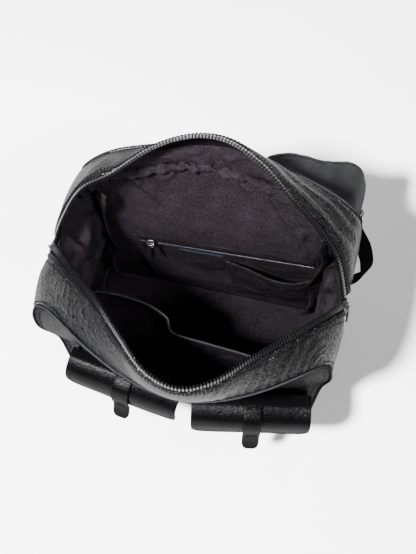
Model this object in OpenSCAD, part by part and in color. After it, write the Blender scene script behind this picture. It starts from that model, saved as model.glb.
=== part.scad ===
// Leather backpack standing open: two sewn panels joined by a gusset that carries the zip,
// a lined inside with a zip pocket, a sleeve and an organizer, two strap-closed front pockets,
// padded shoulder straps and a carry handle.
// Millimetres. +X is the wearer's right, -Y the front, +Z up; the origin is under the base's middle.

/* [Body] */
// Width of the body between its two front seams
body_w = 300; // [280:1:320]
// Depth of the base from front to back
body_d = 150; // [140:1:160]
// Height of the front and back panels
panel_h = 334; // [320:1:345]
// How far the open front panel bows forward at its top
front_bow = 76; // [50:1:80]
// How far the open back panel bows backward at its top
back_bow = 45; // [20:1:50]
// Radius of the panels' top corners
corner_r = 45; // [35:1:60]

/* [Materials] */
// Thickness of the shell leather
leather_t = 2; // [1.4:0.1:2.4]
// Thickness of the lining cloth
lining_t = 1.2; // [0.8:0.1:1.4]
// Thickness of the foam behind the wearer's side
foam_t = 7; // [4:0.5:8]

/* [Front pockets] */
// Width of each front pocket
pocket_w = 124; // [112:1:126]
// Height of each front pocket
pocket_h = 150; // [135:1:152]
// Depth of the left pocket, which lies flatter
pocket_d_left = 24; // [20:1:34]
// Depth of the right pocket, which stands fuller
pocket_d_right = 29; // [24:1:40]
// Width of the closing straps
strap_w = 20; // [16:1:24]

/* [Shoulder straps] */
// Width of the padded shoulder straps
pad_w = 58; // [45:1:62]
// Thickness of the padded shoulder straps
pad_t = 9; // [6:1:10]
// Width of the lower webbing
web_w = 25; // [20:1:28]

/* [Zip] */
// Travel of each main slider on the closed end of its chain
slider_travel = 14; // [8:1:16]
// Length of the inner pocket's zip
inner_zip_len = 206; // [170:1:210]

/* [Hidden] */

half_w = body_w / 2;
half_d = body_d / 2;
base_r = 12;                    // round where the walls turn under into the base
bow_shift = 8;                  // the open mouth stands a little to one side
gap = 0.8;                      // air between sewn pieces
arc_z = panel_h - corner_r;     // height where the panels' top corners start
band_z = arc_z - 4;             // height where the mouth bands end on the panel seams
pipe_r = 1.5;                   // radius of the piped edges
zip_out = 3.4;                  // the closed chain stands this far outside the side panel
zip_tilt = 2;                   // lean of the closed chain, degrees

// Route of the zip's front half, from the left end over the front lip to the right end
front_mouth = [
    [-153, -18, 316], [-138, -31, 330], [-114, -54, 348], [-86, -80, 366], [-55, -113, 384],
    [-24, -143, 395], [10, -154, 398], [42, -140, 396], [74, -104, 381], [104, -72, 362],
    [132, -39, 338], [153, -15, 316]
];
// Route of the zip's back half, from the left end over the back lip to the right end
back_mouth = [
    [-153, -18, 316], [-148, 0, 335], [-133, 28, 360], [-104, 46, 376], [-71, 74, 392],
    [-34, 93, 401], [3, 96, 402], [42, 80, 397], [78, 55, 385], [110, 36, 368],
    [134, 16, 347], [153, -15, 316]
];

// ---------- curves and grids ----------

function unit(v) = v / max(norm(v), 1e-9);
function flat(a) = [for (row = a) for (p = row) p];

// Point at share t of a smooth curve through the points
function on_curve(pts, t) =
    let (n = len(pts) - 1, s = min(max(t, 0), 1) * n, i = min(floor(s), n - 1), f = s - i,
         a = pts[max(i - 1, 0)], b = pts[i], c = pts[i + 1], d = pts[min(i + 2, n)])
    0.5 * (2 * b + (c - a) * f + (2 * a - 5 * b + 4 * c - d) * f * f
           + (3 * b - a - 3 * c + d) * f * f * f);

function tangent(pts, t) = unit(on_curve(pts, min(t + 0.01, 1)) - on_curve(pts, max(t - 0.01, 0)));

// Normal of a grid of points at row i and column j
function grid_normal(g, i, j) =
    let (ni = len(g), nj = len(g[0]),
         u = g[min(i + 1, ni - 1)][j] - g[max(i - 1, 0)][j],
         v = g[i][min(j + 1, nj - 1)] - g[i][max(j - 1, 0)])
    unit(cross(u, v));

function offset_grid(g, d) =
    [for (i = [0 : len(g) - 1]) [for (j = [0 : len(g[0]) - 1]) g[i][j] + d * grid_normal(g, i, j)]];

// Closed solid between two grids of the same size, the first on the side that its normals face
module between(top, bottom) {
    ni = len(top);
    nj = len(top[0]);
    m = ni * nj;
    function id(i, j) = i * nj + j;
    polyhedron(
        points = concat(flat(top), flat(bottom)),
        faces = concat(
            [for (i = [0 : ni - 2]) for (j = [0 : nj - 2]) [id(i, j), id(i + 1, j + 1), id(i + 1, j)]],
            [for (i = [0 : ni - 2]) for (j = [0 : nj - 2]) [id(i, j), id(i, j + 1), id(i + 1, j + 1)]],
            [for (i = [0 : ni - 2]) for (j = [0 : nj - 2])
                [m + id(i, j), m + id(i + 1, j), m + id(i + 1, j + 1)]],
            [for (i = [0 : ni - 2]) for (j = [0 : nj - 2])
                [m + id(i, j), m + id(i + 1, j + 1), m + id(i, j + 1)]],
            [for (i = [0 : ni - 2]) [id(i, 0), id(i + 1, 0), m + id(i + 1, 0)]],
            [for (i = [0 : ni - 2]) [id(i, 0), m + id(i + 1, 0), m + id(i, 0)]],
            [for (i = [0 : ni - 2]) [id(i, nj - 1), m + id(i + 1, nj - 1), id(i + 1, nj - 1)]],
            [for (i = [0 : ni - 2]) [id(i, nj - 1), m + id(i, nj - 1), m + id(i + 1, nj - 1)]],
            [for (j = [0 : nj - 2]) [id(0, j), m + id(0, j + 1), id(0, j + 1)]],
            [for (j = [0 : nj - 2]) [id(0, j), m + id(0, j), m + id(0, j + 1)]],
            [for (j = [0 : nj - 2]) [id(ni - 1, j), id(ni - 1, j + 1), m + id(ni - 1, j + 1)]],
            [for (j = [0 : nj - 2]) [id(ni - 1, j), m + id(ni - 1, j + 1), m + id(ni - 1, j)]]
        )
    );
}

// Sheet of a grid: from depth a to depth b behind the face that the grid's normals look out of
module sheet(g, a, b) { between(offset_grid(g, -a), offset_grid(g, -b)); }

// Solid swept along a route: section points are [across, up], across runs along the side vectors
module sweep(route, sides, section, widths = []) {
    n = len(route);
    m = len(section);
    function wide(i) = len(widths) > 0 ? widths[i] : 1;
    rings = [for (i = [0 : n - 1])
        let (t = unit(route[min(i + 1, n - 1)] - route[max(i - 1, 0)]),
             b = unit(cross(t, sides[i])), a = cross(b, t))
        [for (q = section) route[i] + q[0] * wide(i) * a + q[1] * b]];
    polyhedron(
        points = flat(rings),
        faces = concat(
            [[for (k = [m - 1 : -1 : 0]) k]],
            [[for (k = [0 : m - 1]) (n - 1) * m + k]],
            [for (i = [0 : n - 2]) for (k = [0 : m - 1]) let (q = (k + 1) % m)
                [i * m + k, (i + 1) * m + q, (i + 1) * m + k]],
            [for (i = [0 : n - 2]) for (k = [0 : m - 1]) let (q = (k + 1) % m)
                [i * m + k, i * m + q, (i + 1) * m + q]]
        )
    );
}

function rounded(w, t, e) =
    [[w / 2, t / 2 - e], [w / 2 - e, t / 2], [e - w / 2, t / 2], [-w / 2, t / 2 - e],
     [-w / 2, e - t / 2], [e - w / 2, -t / 2], [w / 2 - e, -t / 2], [w / 2, e - t / 2]];
function ring(r, n = 8) = [for (k = [0 : n - 1]) r * [cos(k * 360 / n), sin(k * 360 / n)]];
function route_of(pts, n) = [for (i = [0 : n]) on_curve(pts, i / n)];

// ---------- the body's walls ----------

function tuck(z) = z < base_r ? base_r - sqrt(pow(base_r, 2) - pow(base_r - z, 2)) : 0;
function rise(z, p) = pow(max(z, 0) / panel_h, p);
function front_shape(x) =
    1 - pow(abs(x - bow_shift) / (half_w + 2 + (x < bow_shift ? bow_shift : -bow_shift)), 1.8);
function back_shape(x) = 1 - pow(min(abs(x) / half_w, 1), 1.6);
function front_y(x, z) = -half_d + tuck(z) - front_bow * front_shape(x) * rise(z, 1.7);
function back_y(x, z) = half_d - tuck(z) + back_bow * back_shape(x) * rise(z, 4);
// Half width of the panels at a height, with their round top corners
function half_at(z) =
    z <= arc_z ? half_w - tuck(z) : half_w - corner_r + sqrt(max(pow(corner_r, 2) - pow(z - arc_z, 2), 0));

wall_rows = concat([0, 1.5, 5, 12, 40, 80, 120, 160, 200, 245, arc_z],
                   [for (a = [20 : 17.5 : 90]) arc_z + corner_r * sin(a)]);
wall_cols = [for (i = [-6 : 6]) i / 6];

function front_wall(rows) = [for (x = wall_cols) [for (z = rows) [x * half_at(z), front_y(x * half_at(z), z), z]]];
function back_wall(rows) = [for (x = wall_cols) [for (z = rows) [-x * half_at(z), back_y(-x * half_at(z), z), z]]];

// Seam of a panel at share q, from the left end of the mouth band over the top to the right end
seam_side = arc_z - band_z;
seam_arc = corner_r * PI / 2;
seam_top = body_w - 2 * corner_r;
seam_len = 2 * seam_side + 2 * seam_arc + seam_top;
function seam_xz(q) =
    let (h = q <= 0.5 ? q : 1 - q, s = h * seam_len,
         a = max(0, min(1, (s - seam_side) / seam_arc)) * 90,
         p = s < seam_side ? [-half_w, band_z + s]
           : s < seam_side + seam_arc ? [-half_w + corner_r * (1 - cos(a)), arc_z + corner_r * sin(a)]
           : [-half_w + corner_r + s - seam_side - seam_arc, panel_h])
    q <= 0.5 ? p : [-p[0], p[1]];
function front_seam(q) = let (p = seam_xz(q)) [p[0], front_y(p[0], p[1]), p[1]];
function back_seam(q) = let (p = seam_xz(q)) [p[0], back_y(p[0], p[1]), p[1]];

// Mouth bands: from the panel's seam (s = 0) to the zip's edge (s = 1), a little full in between
function band_point(seam, mouth, q, s, full) =
    let (a = seam, b = on_curve(mouth, q),
         out = unit(cross(b - a, tangent(mouth, q))))
    a + (b - a) * s + out * full * 4 * s * (1 - s);
function front_band(q, s) = band_point(front_seam(q), front_mouth, q, s, -5);
function back_band(q, s) = band_point(back_seam(q), back_mouth, q, s, 5);
band_cols = [for (i = [0 : 24]) i / 24];
function front_band_grid(s0, s1, n = 3) =
    [for (q = band_cols) [for (k = [0 : n]) front_band(q, s0 + (s1 - s0) * k / n)]];
function back_band_grid(s0, s1, n = 3) =
    [for (i = [24 : -1 : 0]) [for (k = [0 : n]) back_band(i / 24, s0 + (s1 - s0) * k / n)]];

// Side panels: the gusset below the zip's end, from the front seam to the back seam
side_rows = [0, 1.5, 5, 12, 50, 100, 150, 200, 245];
function mouth_end(side) = on_curve(front_mouth, side < 0 ? 0 : 1);
side_inset = leather_t + gap;
function side_sag(y, z) = 5 * sin(180 * min(z / 300, 1)) * cos(90 * y / half_d);
function side_top(f, side) =
    let (e = mouth_end(side) - [side * zip_out, 0, 2], m = 0.38,
         a = [side * half_w, front_y(side * half_w, band_z) + side_inset, band_z - 1],
         b = [side * half_w, back_y(side * half_w, band_z) - side_inset, band_z - 1])
    f < m ? a + (e - a) * f / m : e + (b - e) * (f - m) / (1 - m);
function side_point(f, z, side) =
    let (x = side * (half_w - tuck(z)), y0 = front_y(x, z) + side_inset, y1 = back_y(x, z) - side_inset,
         y = y0 + (y1 - y0) * f)
    [x - side * side_sag(y, z), y, z];
function side_wall(side) =
    let (cols = [0, 0.19, 0.38, 0.52, 0.68, 0.84, 1])
    [for (f = side < 0 ? [for (i = [6 : -1 : 0]) cols[i]] : cols)
        concat([for (z = side_rows) side_point(f, z, side)], [side_top(f, side)])];

// ---------- shell leather ----------

module front_panel() { color("#1b1b1d") sheet(front_wall(wall_rows), 0, leather_t); }
module back_panel() { color("#1b1b1d") sheet(back_wall(wall_rows), 0, leather_t); }
module side_panel(side) { color("#1b1b1d") sheet(side_wall(side), 0, leather_t); }
module base_panel() {
    edge = base_r + 2 * gap;
    color("#1b1b1d") translate([-half_w + edge, -half_d + edge, 0])
        cube([body_w - 2 * edge, body_d - 2 * edge, leather_t]);
}
module front_mouth_band() {
    color("#1b1b1d") sheet(front_band_grid(0.042, 0.82, 4), 0, leather_t);
}
module back_mouth_band() {
    color("#1b1b1d") sheet(back_band_grid(0.03, 0.82, 4), 0, leather_t);
}

// Piping: outside the panel seams, from the base over the top and down again
function piping_route(back) =
    let (f = function(x, z) back ? back_y(x, z) + pipe_r + gap : front_y(x, z) - pipe_r - gap,
         up = [for (z = [14, 60, 110, 160, 210, 250, 275]) [half_w, z]])
    concat([for (p = up) [-p[0], f(-p[0], p[1]), p[1]]],
           [for (i = [0 : 28]) let (p = seam_xz(i / 28)) [p[0], f(p[0], p[1]), p[1]]],
           [for (i = [len(up) - 1 : -1 : 0]) let (p = up[i]) [p[0], f(p[0], p[1]), p[1]]]);
module piping(back) {
    route = piping_route(back);
    color("#2b2b2d") sweep(route, [for (p = route) [0, 1, 0]], ring(pipe_r, 6));
}

front_panel();
back_panel();
base_panel();
side_panel(-1);  // side_panel_left
side_panel(1);  // side_panel_right
front_mouth_band();
back_mouth_band();
piping(false);  // front_piping
piping(true);  // back_piping

// ---------- base, foam and lining ----------

deep = leather_t + gap;                 // depth of the lining's outer face
back_deep = deep + foam_t + 1.4;        // the same behind the foam
lining_rows = concat([10, 20, 40, 80, 120, 160, 200, 245, arc_z],
                     [for (a = [20 : 17.5 : 90]) arc_z + (corner_r - 6) * sin(a)]);
function inner_half_at(z) =
    z <= arc_z ? half_w - 5.5
               : half_w - corner_r - 0.5 + sqrt(max(pow(corner_r - 5, 2) - pow(z - arc_z, 2), 0));
function lining_wall(back) =
    [for (x = wall_cols) [for (z = lining_rows)
        let (px = (back ? -x : x) * inner_half_at(z)) [px, back ? back_y(px, z) : front_y(px, z), z]]];

module base_board() {
    edge = base_r + 1;
    color("#7c6a52") translate([-half_w + edge, -half_d + edge, deep])
        cube([body_w - 2 * edge, body_d - 2 * edge, 2]);
}
module base_lining() {
    color("#4c4146") translate([-half_w + 9.5, -half_d + 9.5, deep + 2 + gap])
        cube([body_w - 19, body_d - 19, lining_t]);
}
module back_foam() {
    rows = [18, 60, 110, 160, 210, 250, 280, 300, 312];
    color("#39393b") sheet([for (x = wall_cols) [for (z = rows)
        let (px = -x * min(half_w - 9, half_w - corner_r + sqrt(max(pow(corner_r - 9, 2)
             - pow(max(z - arc_z, 0), 2), 0)))) [px, back_y(px, z), z]]], deep, deep + foam_t);
}
module front_lining() { color("#4c4146") sheet(lining_wall(false), deep, deep + lining_t); }
module back_lining() { color("#4c4146") sheet(lining_wall(true), back_deep, back_deep + lining_t); }
module side_lining(side) {
    color("#4c4146") intersection() {
        sheet(side_wall(side), deep, deep + lining_t);
        translate([-half_w - 20, -half_d + 6, 10]) cube([body_w + 40, body_d - 6 - back_deep - 3, 330]);
    }
}
module front_band_lining() {
    color("#4c4146") sheet(front_band_grid(0.08, 0.8), deep, deep + lining_t);
}
module back_band_lining() {
    color("#4c4146") sheet(back_band_grid(0.08, 0.8), deep, deep + lining_t);
}

base_panel();
base_board();
back_foam();
front_lining();
back_lining();
side_lining(-1);  // side_lining_left
side_lining(1);  // side_lining_right
base_lining();
front_band_lining();
back_band_lining();

// ---------- main zip ----------

tape_t = 0.8;
teeth_t = 2.2;
plate_t = 1.1;
slider_len = 12;
slider_w = 10;
chain_len = slider_len + slider_travel + 7;     // closed chain below the open mouth

// Places its children on a closed end of the chain: local +X outward, +Z up the chain
module at_zip_end(side) {
    translate(mouth_end(side)) rotate([0, side * zip_tilt, 0]) rotate([0, 0, side < 0 ? 180 : 0])
        children();
}

// Half of the closed chain, from y0 to y1 off its middle, on the front (dir -1) or back (dir 1)
module closed_half(side, dir, y0, y1, t) {
    at_zip_end(side) translate([-t / 2, side * dir > 0 ? y0 : -y1, -chain_len])
        cube([t, y1 - y0, chain_len - 1]);
}
module zip_tape(back) {
    dir = back ? 1 : -1;
    color("#4a4048") union() {
        sheet(back ? back_band_grid(0.84, 0.945, 1) : front_band_grid(0.84, 0.945, 1), 0.6, 0.6 + tape_t);
        for (side = [-1, 1]) closed_half(side, dir, 4.3, 9.4, tape_t);
    }
}
module zip_teeth(back) {
    dir = back ? 1 : -1;
    color("#6a6560") union() {
        sheet(back ? back_band_grid(0.952, 0.995, 1) : front_band_grid(0.952, 0.995, 1), -0.1, 2.1);
        for (side = [-1, 1]) closed_half(side, dir, 0.8, 3.9, teeth_t);
    }
}
// Leather tab over the end of the closed chain
module zip_end(side) {
    color("#1b1b1d") at_zip_end(side) {
        translate([1.6, -11, -chain_len - 15]) cube([1.5, 22, 17]);
        translate([-2.4, -11, -chain_len - 15]) cube([4.5, 22, 14]);
    }
}
// Slider: two plates joined by a bridge between the chain's halves, and a bail for the puller
module slider_body() translate([0, 0, -2]) {
    hw = slider_w / 2;
    for (x = [1.5, -1.5 - plate_t]) translate([x, -hw, -slider_len - 1]) cube([plate_t, slider_w, slider_len]);
    translate([-2, -0.5, -4]) cube([4, 1, 3]);
    difference() {
        translate([1.6, -1.6, -11]) cube([5.2, 3.2, 8.4]);
        translate([3, -2, -9.4]) cube([2.5, 4, 5.2]);
    }
}
// Puller: a wire stirrup through the bail and a leather tab on it
module puller_body() translate([0, 0, -2]) {
    bail = [4.25, 0, -6.8];
    translate(bail) rotate([90, 0, 0]) cylinder(h = 8.4, r = 0.7, center = true, $fn = 24);
    for (y = [-4.3, 3.1]) translate([3.6, y, -15.5]) cube([1.3, 1.2, 9.2]);
    translate([3.6, -4.3, -16.5]) cube([1.3, 8.6, 1.4]);
    translate([3.4, -5, -52]) cube([1.7, 10, 36]);
}
module slider(side) { color("#8b8680") at_zip_end(side) slider_body(); }
module puller(side) { color("#2b2b2d") at_zip_end(side) puller_body(); }

zip_tape(false);  // front_zip_tape
zip_tape(true);  // back_zip_tape
zip_teeth(false);  // front_zip_teeth
zip_teeth(true);  // back_zip_teeth
zip_end(-1);  // zip_end_left
zip_end(1);  // zip_end_right
slider(-1);  // slider_left
puller(-1);  // puller_left
slider(1);  // slider_right
puller(1);  // puller_right

// ---------- inside pockets ----------

inner_at = [14, 57.4, 186];     // middle of the inner zip
inner_tilt = 8;                 // the lining hangs askew, the zip's right end higher
inner_start = 14;               // the closed slider stands this far from the zip's left end

module at_inner() { translate(inner_at) rotate([0, -inner_tilt, 0]) children(); }

module inner_zip_tape() {
    l = inner_zip_len + 14;
    color("#3f3a40") at_inner() difference() {
        translate([-l / 2, -tape_t / 2, -13]) cube([l, tape_t, 26]);
        translate([-inner_zip_len / 2, -1, -4.3]) cube([inner_zip_len, 2, 8.6]);
    }
}
module inner_zip_teeth() {
    l = inner_zip_len - 1;
    color("#6a6560") at_inner() for (z = [-3.9, 0.8])
        translate([-l / 2, -teeth_t / 2, z]) cube([l, teeth_t, 3.1]);
}
module inner_slider() {
    hw = slider_w / 2;
    color("#8b8680") at_inner() translate([-inner_zip_len / 2 + inner_start, 0, 0]) {
        for (y = [1.5, -1.5 - plate_t]) translate([-6, y, -hw]) cube([slider_len, plate_t, slider_w]);
        translate([-6, -2, -0.5]) cube([3, 4, 1]);
        difference() {
            translate([-1.6, -6.8, -4.4]) cube([3.2, 5.2, 8.4]);
            translate([-2, -5.5, -2.8]) cube([4, 2.5, 5.2]);
        }
    }
}
module inner_puller() {
    color("#8b8680") at_inner() translate([-inner_zip_len / 2 + inner_start, -4.25, -0.2]) {
        rotate([0, 90, 0]) cylinder(h = 8.4, r = 0.7, center = true, $fn = 24);
        for (x = [-4.3, 3.1]) translate([x, -0.65, -9]) cube([1.2, 1.3, 9.5]);
        translate([-4.3, -0.65, -10]) cube([8.6, 1.3, 1.4]);
        translate([-4, -0.8, -27]) cube([8, 1.5, 17.5]);
    }
}
module inner_pocket_bag() {
    l = inner_zip_len + 14;
    color("#51464b") at_inner() union() {
        translate([-l / 2, -0.6, -125]) cube([l, 1.2, 111.5]);
        for (x = [-l / 2, l / 2 - 1.2]) translate([x, -0.6, -125]) cube([1.2, 4.7, 100]);
        translate([-l / 2, -0.6, -125]) cube([l, 4.7, 1.2]);
    }
}
module label_patch() {
    color("#8d97a3") at_inner() translate([-62, -2.5, -38]) cube([54, 1.4, 20]);
}
// Open sleeve on the right of the back wall
module sleeve_panel() {
    grid = [for (i = [0 : 10]) [for (k = [0 : 6])
        let (u = i / 10, v = k / 6, puff = 13 * sin(180 * u) * pow(sin(90 * v), 0.7))
        [-4 + 116 * u, -1.2 - puff, -138 + 108 * v]]];
    color("#4c4146") at_inner() sheet(grid, -1.2, 0);
}
// Organizer across the front wall, its top edge standing off toward the middle
organizer_top = [[-136, -76], [-112, -38], [-62, -37], [-30, -48], [-19, -61], [25, -65], [73, -69], [132, -80]];
module organizer_panel() {
    x0 = organizer_top[0][0];
    grid = [for (i = [0 : 20]) [for (k = [0 : 6])
        let (t = on_curve([for (q = organizer_top) [q[0], q[1], 0]], i / 20), v = k / 6,
             z = 34 + (i < 10 ? 208 : 196) * v, y0 = front_y(t[0], z) + 7)
        [t[0], y0 + (max(t[1], y0) - y0) * pow(sin(90 * v), 1.2), z]]];
    color("#4c4146") sheet(grid, -1.3, 0);
}

inner_zip_tape();
inner_zip_teeth();
inner_slider();
inner_puller();
inner_pocket_bag();
sleeve_panel();
label_patch();
organizer_panel();

// ---------- front pockets ----------

pocket_z = 20;
flap_z = 182;
flap_w = pocket_w + 9;
flap_drop = 58;
flap_t = 2.2;
function pocket_x(side) = side * 70 + 7;
function pocket_d(side) = side < 0 ? pocket_d_left : pocket_d_right;
function strap_x(side) = side < 0 ? 1 : 2;      // the strap's place on its flap
function pocket_y(side, u, v) =
    let (x = pocket_x(side) + u * pocket_w / 2, z = pocket_z + v * pocket_h,
         across = pow(max(1 - pow(abs(u), 7), 0), 1 / 3),
         up = v < 0.2 ? pow(max(1 - pow(1 - v / 0.2, 4), 0), 1 / 2.2) : 1 - 0.05 * pow(v, 2))
    front_y(x, z) - 0.9 - pocket_d(side) * across * up;
module pocket(side) {
    us = [-1, -0.97, -0.9, -0.75, -0.5, -0.2, 0.2, 0.5, 0.75, 0.9, 0.97, 1];
    vs = [0, 0.02, 0.07, 0.15, 0.3, 0.5, 0.75, 1];
    color("#202022") sheet([for (u = us) [for (v = vs)
        [pocket_x(side) + u * pocket_w / 2, pocket_y(side, u, v), pocket_z + v * pocket_h]]], 0, leather_t);
}

// Places its children at the flap's seam: local X along the seam, -Y outward
flap_a = [for (side = [-1, 1]) [pocket_x(side) - flap_w / 2, front_y(pocket_x(side) - flap_w / 2, flap_z)]];
flap_b = [for (side = [-1, 1]) [pocket_x(side) + flap_w / 2, front_y(pocket_x(side) + flap_w / 2, flap_z)]];
function flap_turn(side) =
    let (k = side < 0 ? 0 : 1, d = flap_b[k] - flap_a[k]) atan2(d[1], d[0]);
function flap_root(side) =
    let (k = side < 0 ? 0 : 1, m = (flap_a[k] + flap_b[k]) / 2, p = front_y(pocket_x(side), flap_z))
    [m[0], min(m[1], p) - 2.2, flap_z];
module at_flap(side) { translate(flap_root(side)) rotate([0, 0, flap_turn(side)]) children(); }

function flap_line(d) =
    [[0, 0], [d * 0.3, 2], [d * 0.62, 2], [d + 1, -4], [d + 6, -14], [d + 7, -30], [d + 5, -flap_drop]];
function flap_rim(v) = v < 0.86 ? 0 : 14 * (1 - sqrt(max(1 - pow((v - 0.86) / 0.14, 2), 0)));
module flap(side) {
    d = pocket_d(side);
    line = [for (p = flap_line(d)) [0, -p[0], p[1]]];
    grid = [for (i = [10 : -1 : 0]) [for (k = [0 : 12])
        let (v = k / 12, p = on_curve(line, v), h = flap_w / 2 - flap_rim(v))
        [(2 * i / 10 - 1) * h, p[1], p[2]]]];
    color("#222224") at_flap(side) sheet(grid, 0, flap_t);
}
function strap_line(d) =
    [[d * 0.55, 5.2], [d * 0.8, 4.4], [d + 5, -1], [d + 10, -13], [d + 11, -30], [d + 9.6, -52],
     [d + 13, -68], [d + 19, -80]];
module strap(side) {
    d = pocket_d(side);
    route = [for (i = [0 : 14]) let (p = on_curve([for (q = strap_line(d)) [0, -q[0], q[1]]], i / 14))
        [strap_x(side), p[1], p[2] - 1.1]];
    color("#222224") at_flap(side) sweep(route, [for (p = route) [1, 0, 0]], rounded(strap_w, 2.2, 0.6));
}
module snap_cap(side) {
    d = pocket_d(side);
    color("#8b8680") at_flap(side) translate([strap_x(side), -(d + 9), -63]) rotate([90 - 14, 0, 0])
        translate([0, 0, -2.4]) cylinder(h = 2.2, r = 6.5, $fn = 32);
}
module snap_socket(side) {
    x = pocket_x(side) + strap_x(side);
    y = pocket_y(side, strap_x(side) * 2 / pocket_w, (119 - pocket_z) / pocket_h);
    color("#8b8680") translate([x, y - 1.4, 119]) rotate([90, 0, flap_turn(side)])
        cylinder(h = 1.8, r = 6.5, $fn = 32);
}

pocket(-1);  // pocket_left
pocket(1);  // pocket_right
snap_socket(-1);  // snap_socket_left
snap_socket(1);  // snap_socket_right
flap(-1);  // flap_left
flap(1);  // flap_right
strap(-1);  // strap_left
strap(1);  // strap_right
snap_cap(-1);  // snap_cap_left
snap_cap(1);  // snap_cap_right

// ---------- carrying ----------

// Leather plate sewn over the tops of the straps
module back_yoke() {
    grid = [for (i = [6 : -1 : -6]) [for (z = [262, 276, 290, 304, 318])
        [i * 11.5, back_y(i * 11.5, z), z]]];
    color("#1b1b1d") sheet(grid, -3.9, -1.2);
}
handle_z = 325;
module carry_handle() {
    y = back_y(0, handle_z) + 2.6;
    route = route_of([[-42, y, handle_z], [-39, y + 2, handle_z - 8], [-25, y + 5, handle_z - 19],
                      [0, y + 6, handle_z - 23], [25, y + 5, handle_z - 19], [39, y + 2, handle_z - 8],
                      [42, y, handle_z]], 18);
    color("#202022") sweep(route, [for (p = route) [0, 1, 0]], rounded(5, 9, 1.4));
}
// Shoulder pads: the right one is flung out to the side, the left one hangs down the back
pad_right = [[34, 111, 288], [42, 122, 286], [62, 125, 279], [92, 128, 266], [120, 133, 253], [141, 137, 238],
             [150, 136, 212], [152, 131, 184]];
pad_right_side = [[0.9, 0.35, 0.2], [0.7, 0.6, 0.2], [0.2, 1, 0.25], [0, 1, 0.15], [0, 1, 0], [0, 1, 0], [0.05, 1, 0],
                  [0.1, 1, 0]];
pad_left = [[-34, 109, 287], [-39, 119, 275], [-51, 124, 246], [-64, 130, 208], [-76, 138, 170], [-84, 142, 140]];
pad_left_side = [[1, 0.1, 0], [1, 0.1, 0], [0.95, 0, 0.3], [0.95, 0, 0.3], [0.95, 0, 0.3], [1, 0, 0.2]];
web_right = [[152.6, 130.7, 181.6], [156.5, 129.6, 166], [160.4, 128.5, 150.4], [164.3, 127.4, 134.8],
             [178, 117, 112], [183, 103, 86], [168, 99, 58], [144, 96, 34]];
web_right_side = [[0.25, 1, 0], [0.25, 1, 0], [0.25, 1, 0], [0.25, 1, 0], [0.35, 0.95, 0], [0.5, 0.9, 0], [0.6, 0.8, 0],
                  [0.8, 0.6, 0]];
web_left = [[-84.3, 142.1, 138.8], [-88, 140, 114], [-91.7, 137.9, 89.2], [-99, 128, 66], [-114, 108, 46], [-134, 89, 32]];
web_left_side = [[1, 0, 0.2], [1, 0, 0.2], [1, 0, 0.2], [1, 0, 0.25], [1, 0, 0.3], [0.9, 0.2, 0.4]];
function pad_pts(side) = side < 0 ? pad_left : pad_right;
function pad_sides(side) = side < 0 ? pad_left_side : pad_right_side;
function web_pts(side) = side < 0 ? web_left : web_right;
function web_sides(side) = side < 0 ? web_left_side : web_right_side;

// Share of the full width: narrow where it is sewn in, tapered to the webbing at its end
function pad_share(t) = min(0.78 + t, 1, 0.5 + 0.5 * sqrt(max(1 - pow(max(t - 0.8, 0) / 0.2, 2), 0)));
module shoulder_pad(side) {
    color("#1e1e20") sweep(route_of(pad_pts(side), 20), [for (s = route_of(pad_sides(side), 20)) unit(s)],
        rounded(pad_w, pad_t, 3), [for (i = [0 : 20]) pad_share(i / 20)]);
}
module webbing(side) {
    color("#161618") sweep(route_of(web_pts(side), 16), [for (s = route_of(web_sides(side), 16)) unit(s)],
        rounded(web_w, 1.6, 0.4));
}
// Metal slide loop round the webbing
module adjuster(side) {
    p = web_pts(side);
    z = unit(p[0] - p[1]);
    a = unit(web_sides(side)[0]);
    b = unit(cross(z, a));
    c = cross(b, z);
    mid = p[0] + (p[1] - p[0]) * 0.4;
    color("#8b8680") multmatrix([[c[0], b[0], z[0], mid[0]], [c[1], b[1], z[1], mid[1]],
                                 [c[2], b[2], z[2], mid[2]], [0, 0, 0, 1]])
        difference() {
            translate([-web_w / 2 - 4, -4, -4]) cube([web_w + 8, 8, 8]);
            translate([-web_w / 2 - 1, -1.9, -5]) cube([web_w + 2, 3.8, 10]);
        }
}
module lower_tab(side) {
    color("#1b1b1d") translate([side * 128, half_d + 1, 0]) hull() {
        translate([-16, 0, 14]) cube([32, 2.6, 2]);
        translate([side > 0 ? -8 : -20, 0, 40]) cube([28, 2.6, 2]);
    }
}

back_yoke();
carry_handle();
shoulder_pad(-1);  // shoulder_pad_left
shoulder_pad(1);  // shoulder_pad_right
webbing(-1);  // webbing_left
webbing(1);  // webbing_right
adjuster(-1);  // adjuster_left
adjuster(1);  // adjuster_right
lower_tab(-1);  // lower_tab_left
lower_tab(1);  // lower_tab_right
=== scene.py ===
"""Leather backpack, standing open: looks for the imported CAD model."""
import math
import bmesh
import bpy
from mathutils import Matrix, Vector, noise


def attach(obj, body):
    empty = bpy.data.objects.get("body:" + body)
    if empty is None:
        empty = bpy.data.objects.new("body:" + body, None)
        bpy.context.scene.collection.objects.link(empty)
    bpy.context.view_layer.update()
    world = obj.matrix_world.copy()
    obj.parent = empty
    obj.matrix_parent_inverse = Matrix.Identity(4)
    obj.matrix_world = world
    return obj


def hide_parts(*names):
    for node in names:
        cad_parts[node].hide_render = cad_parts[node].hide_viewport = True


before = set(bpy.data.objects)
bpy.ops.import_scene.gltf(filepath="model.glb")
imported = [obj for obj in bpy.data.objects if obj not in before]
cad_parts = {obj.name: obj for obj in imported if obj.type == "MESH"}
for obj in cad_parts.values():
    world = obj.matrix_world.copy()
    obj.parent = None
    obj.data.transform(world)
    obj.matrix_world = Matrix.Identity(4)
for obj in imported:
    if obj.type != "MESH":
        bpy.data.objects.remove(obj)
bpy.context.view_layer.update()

# ---------- sizes, in millimetres, as in the CAD ----------

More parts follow.
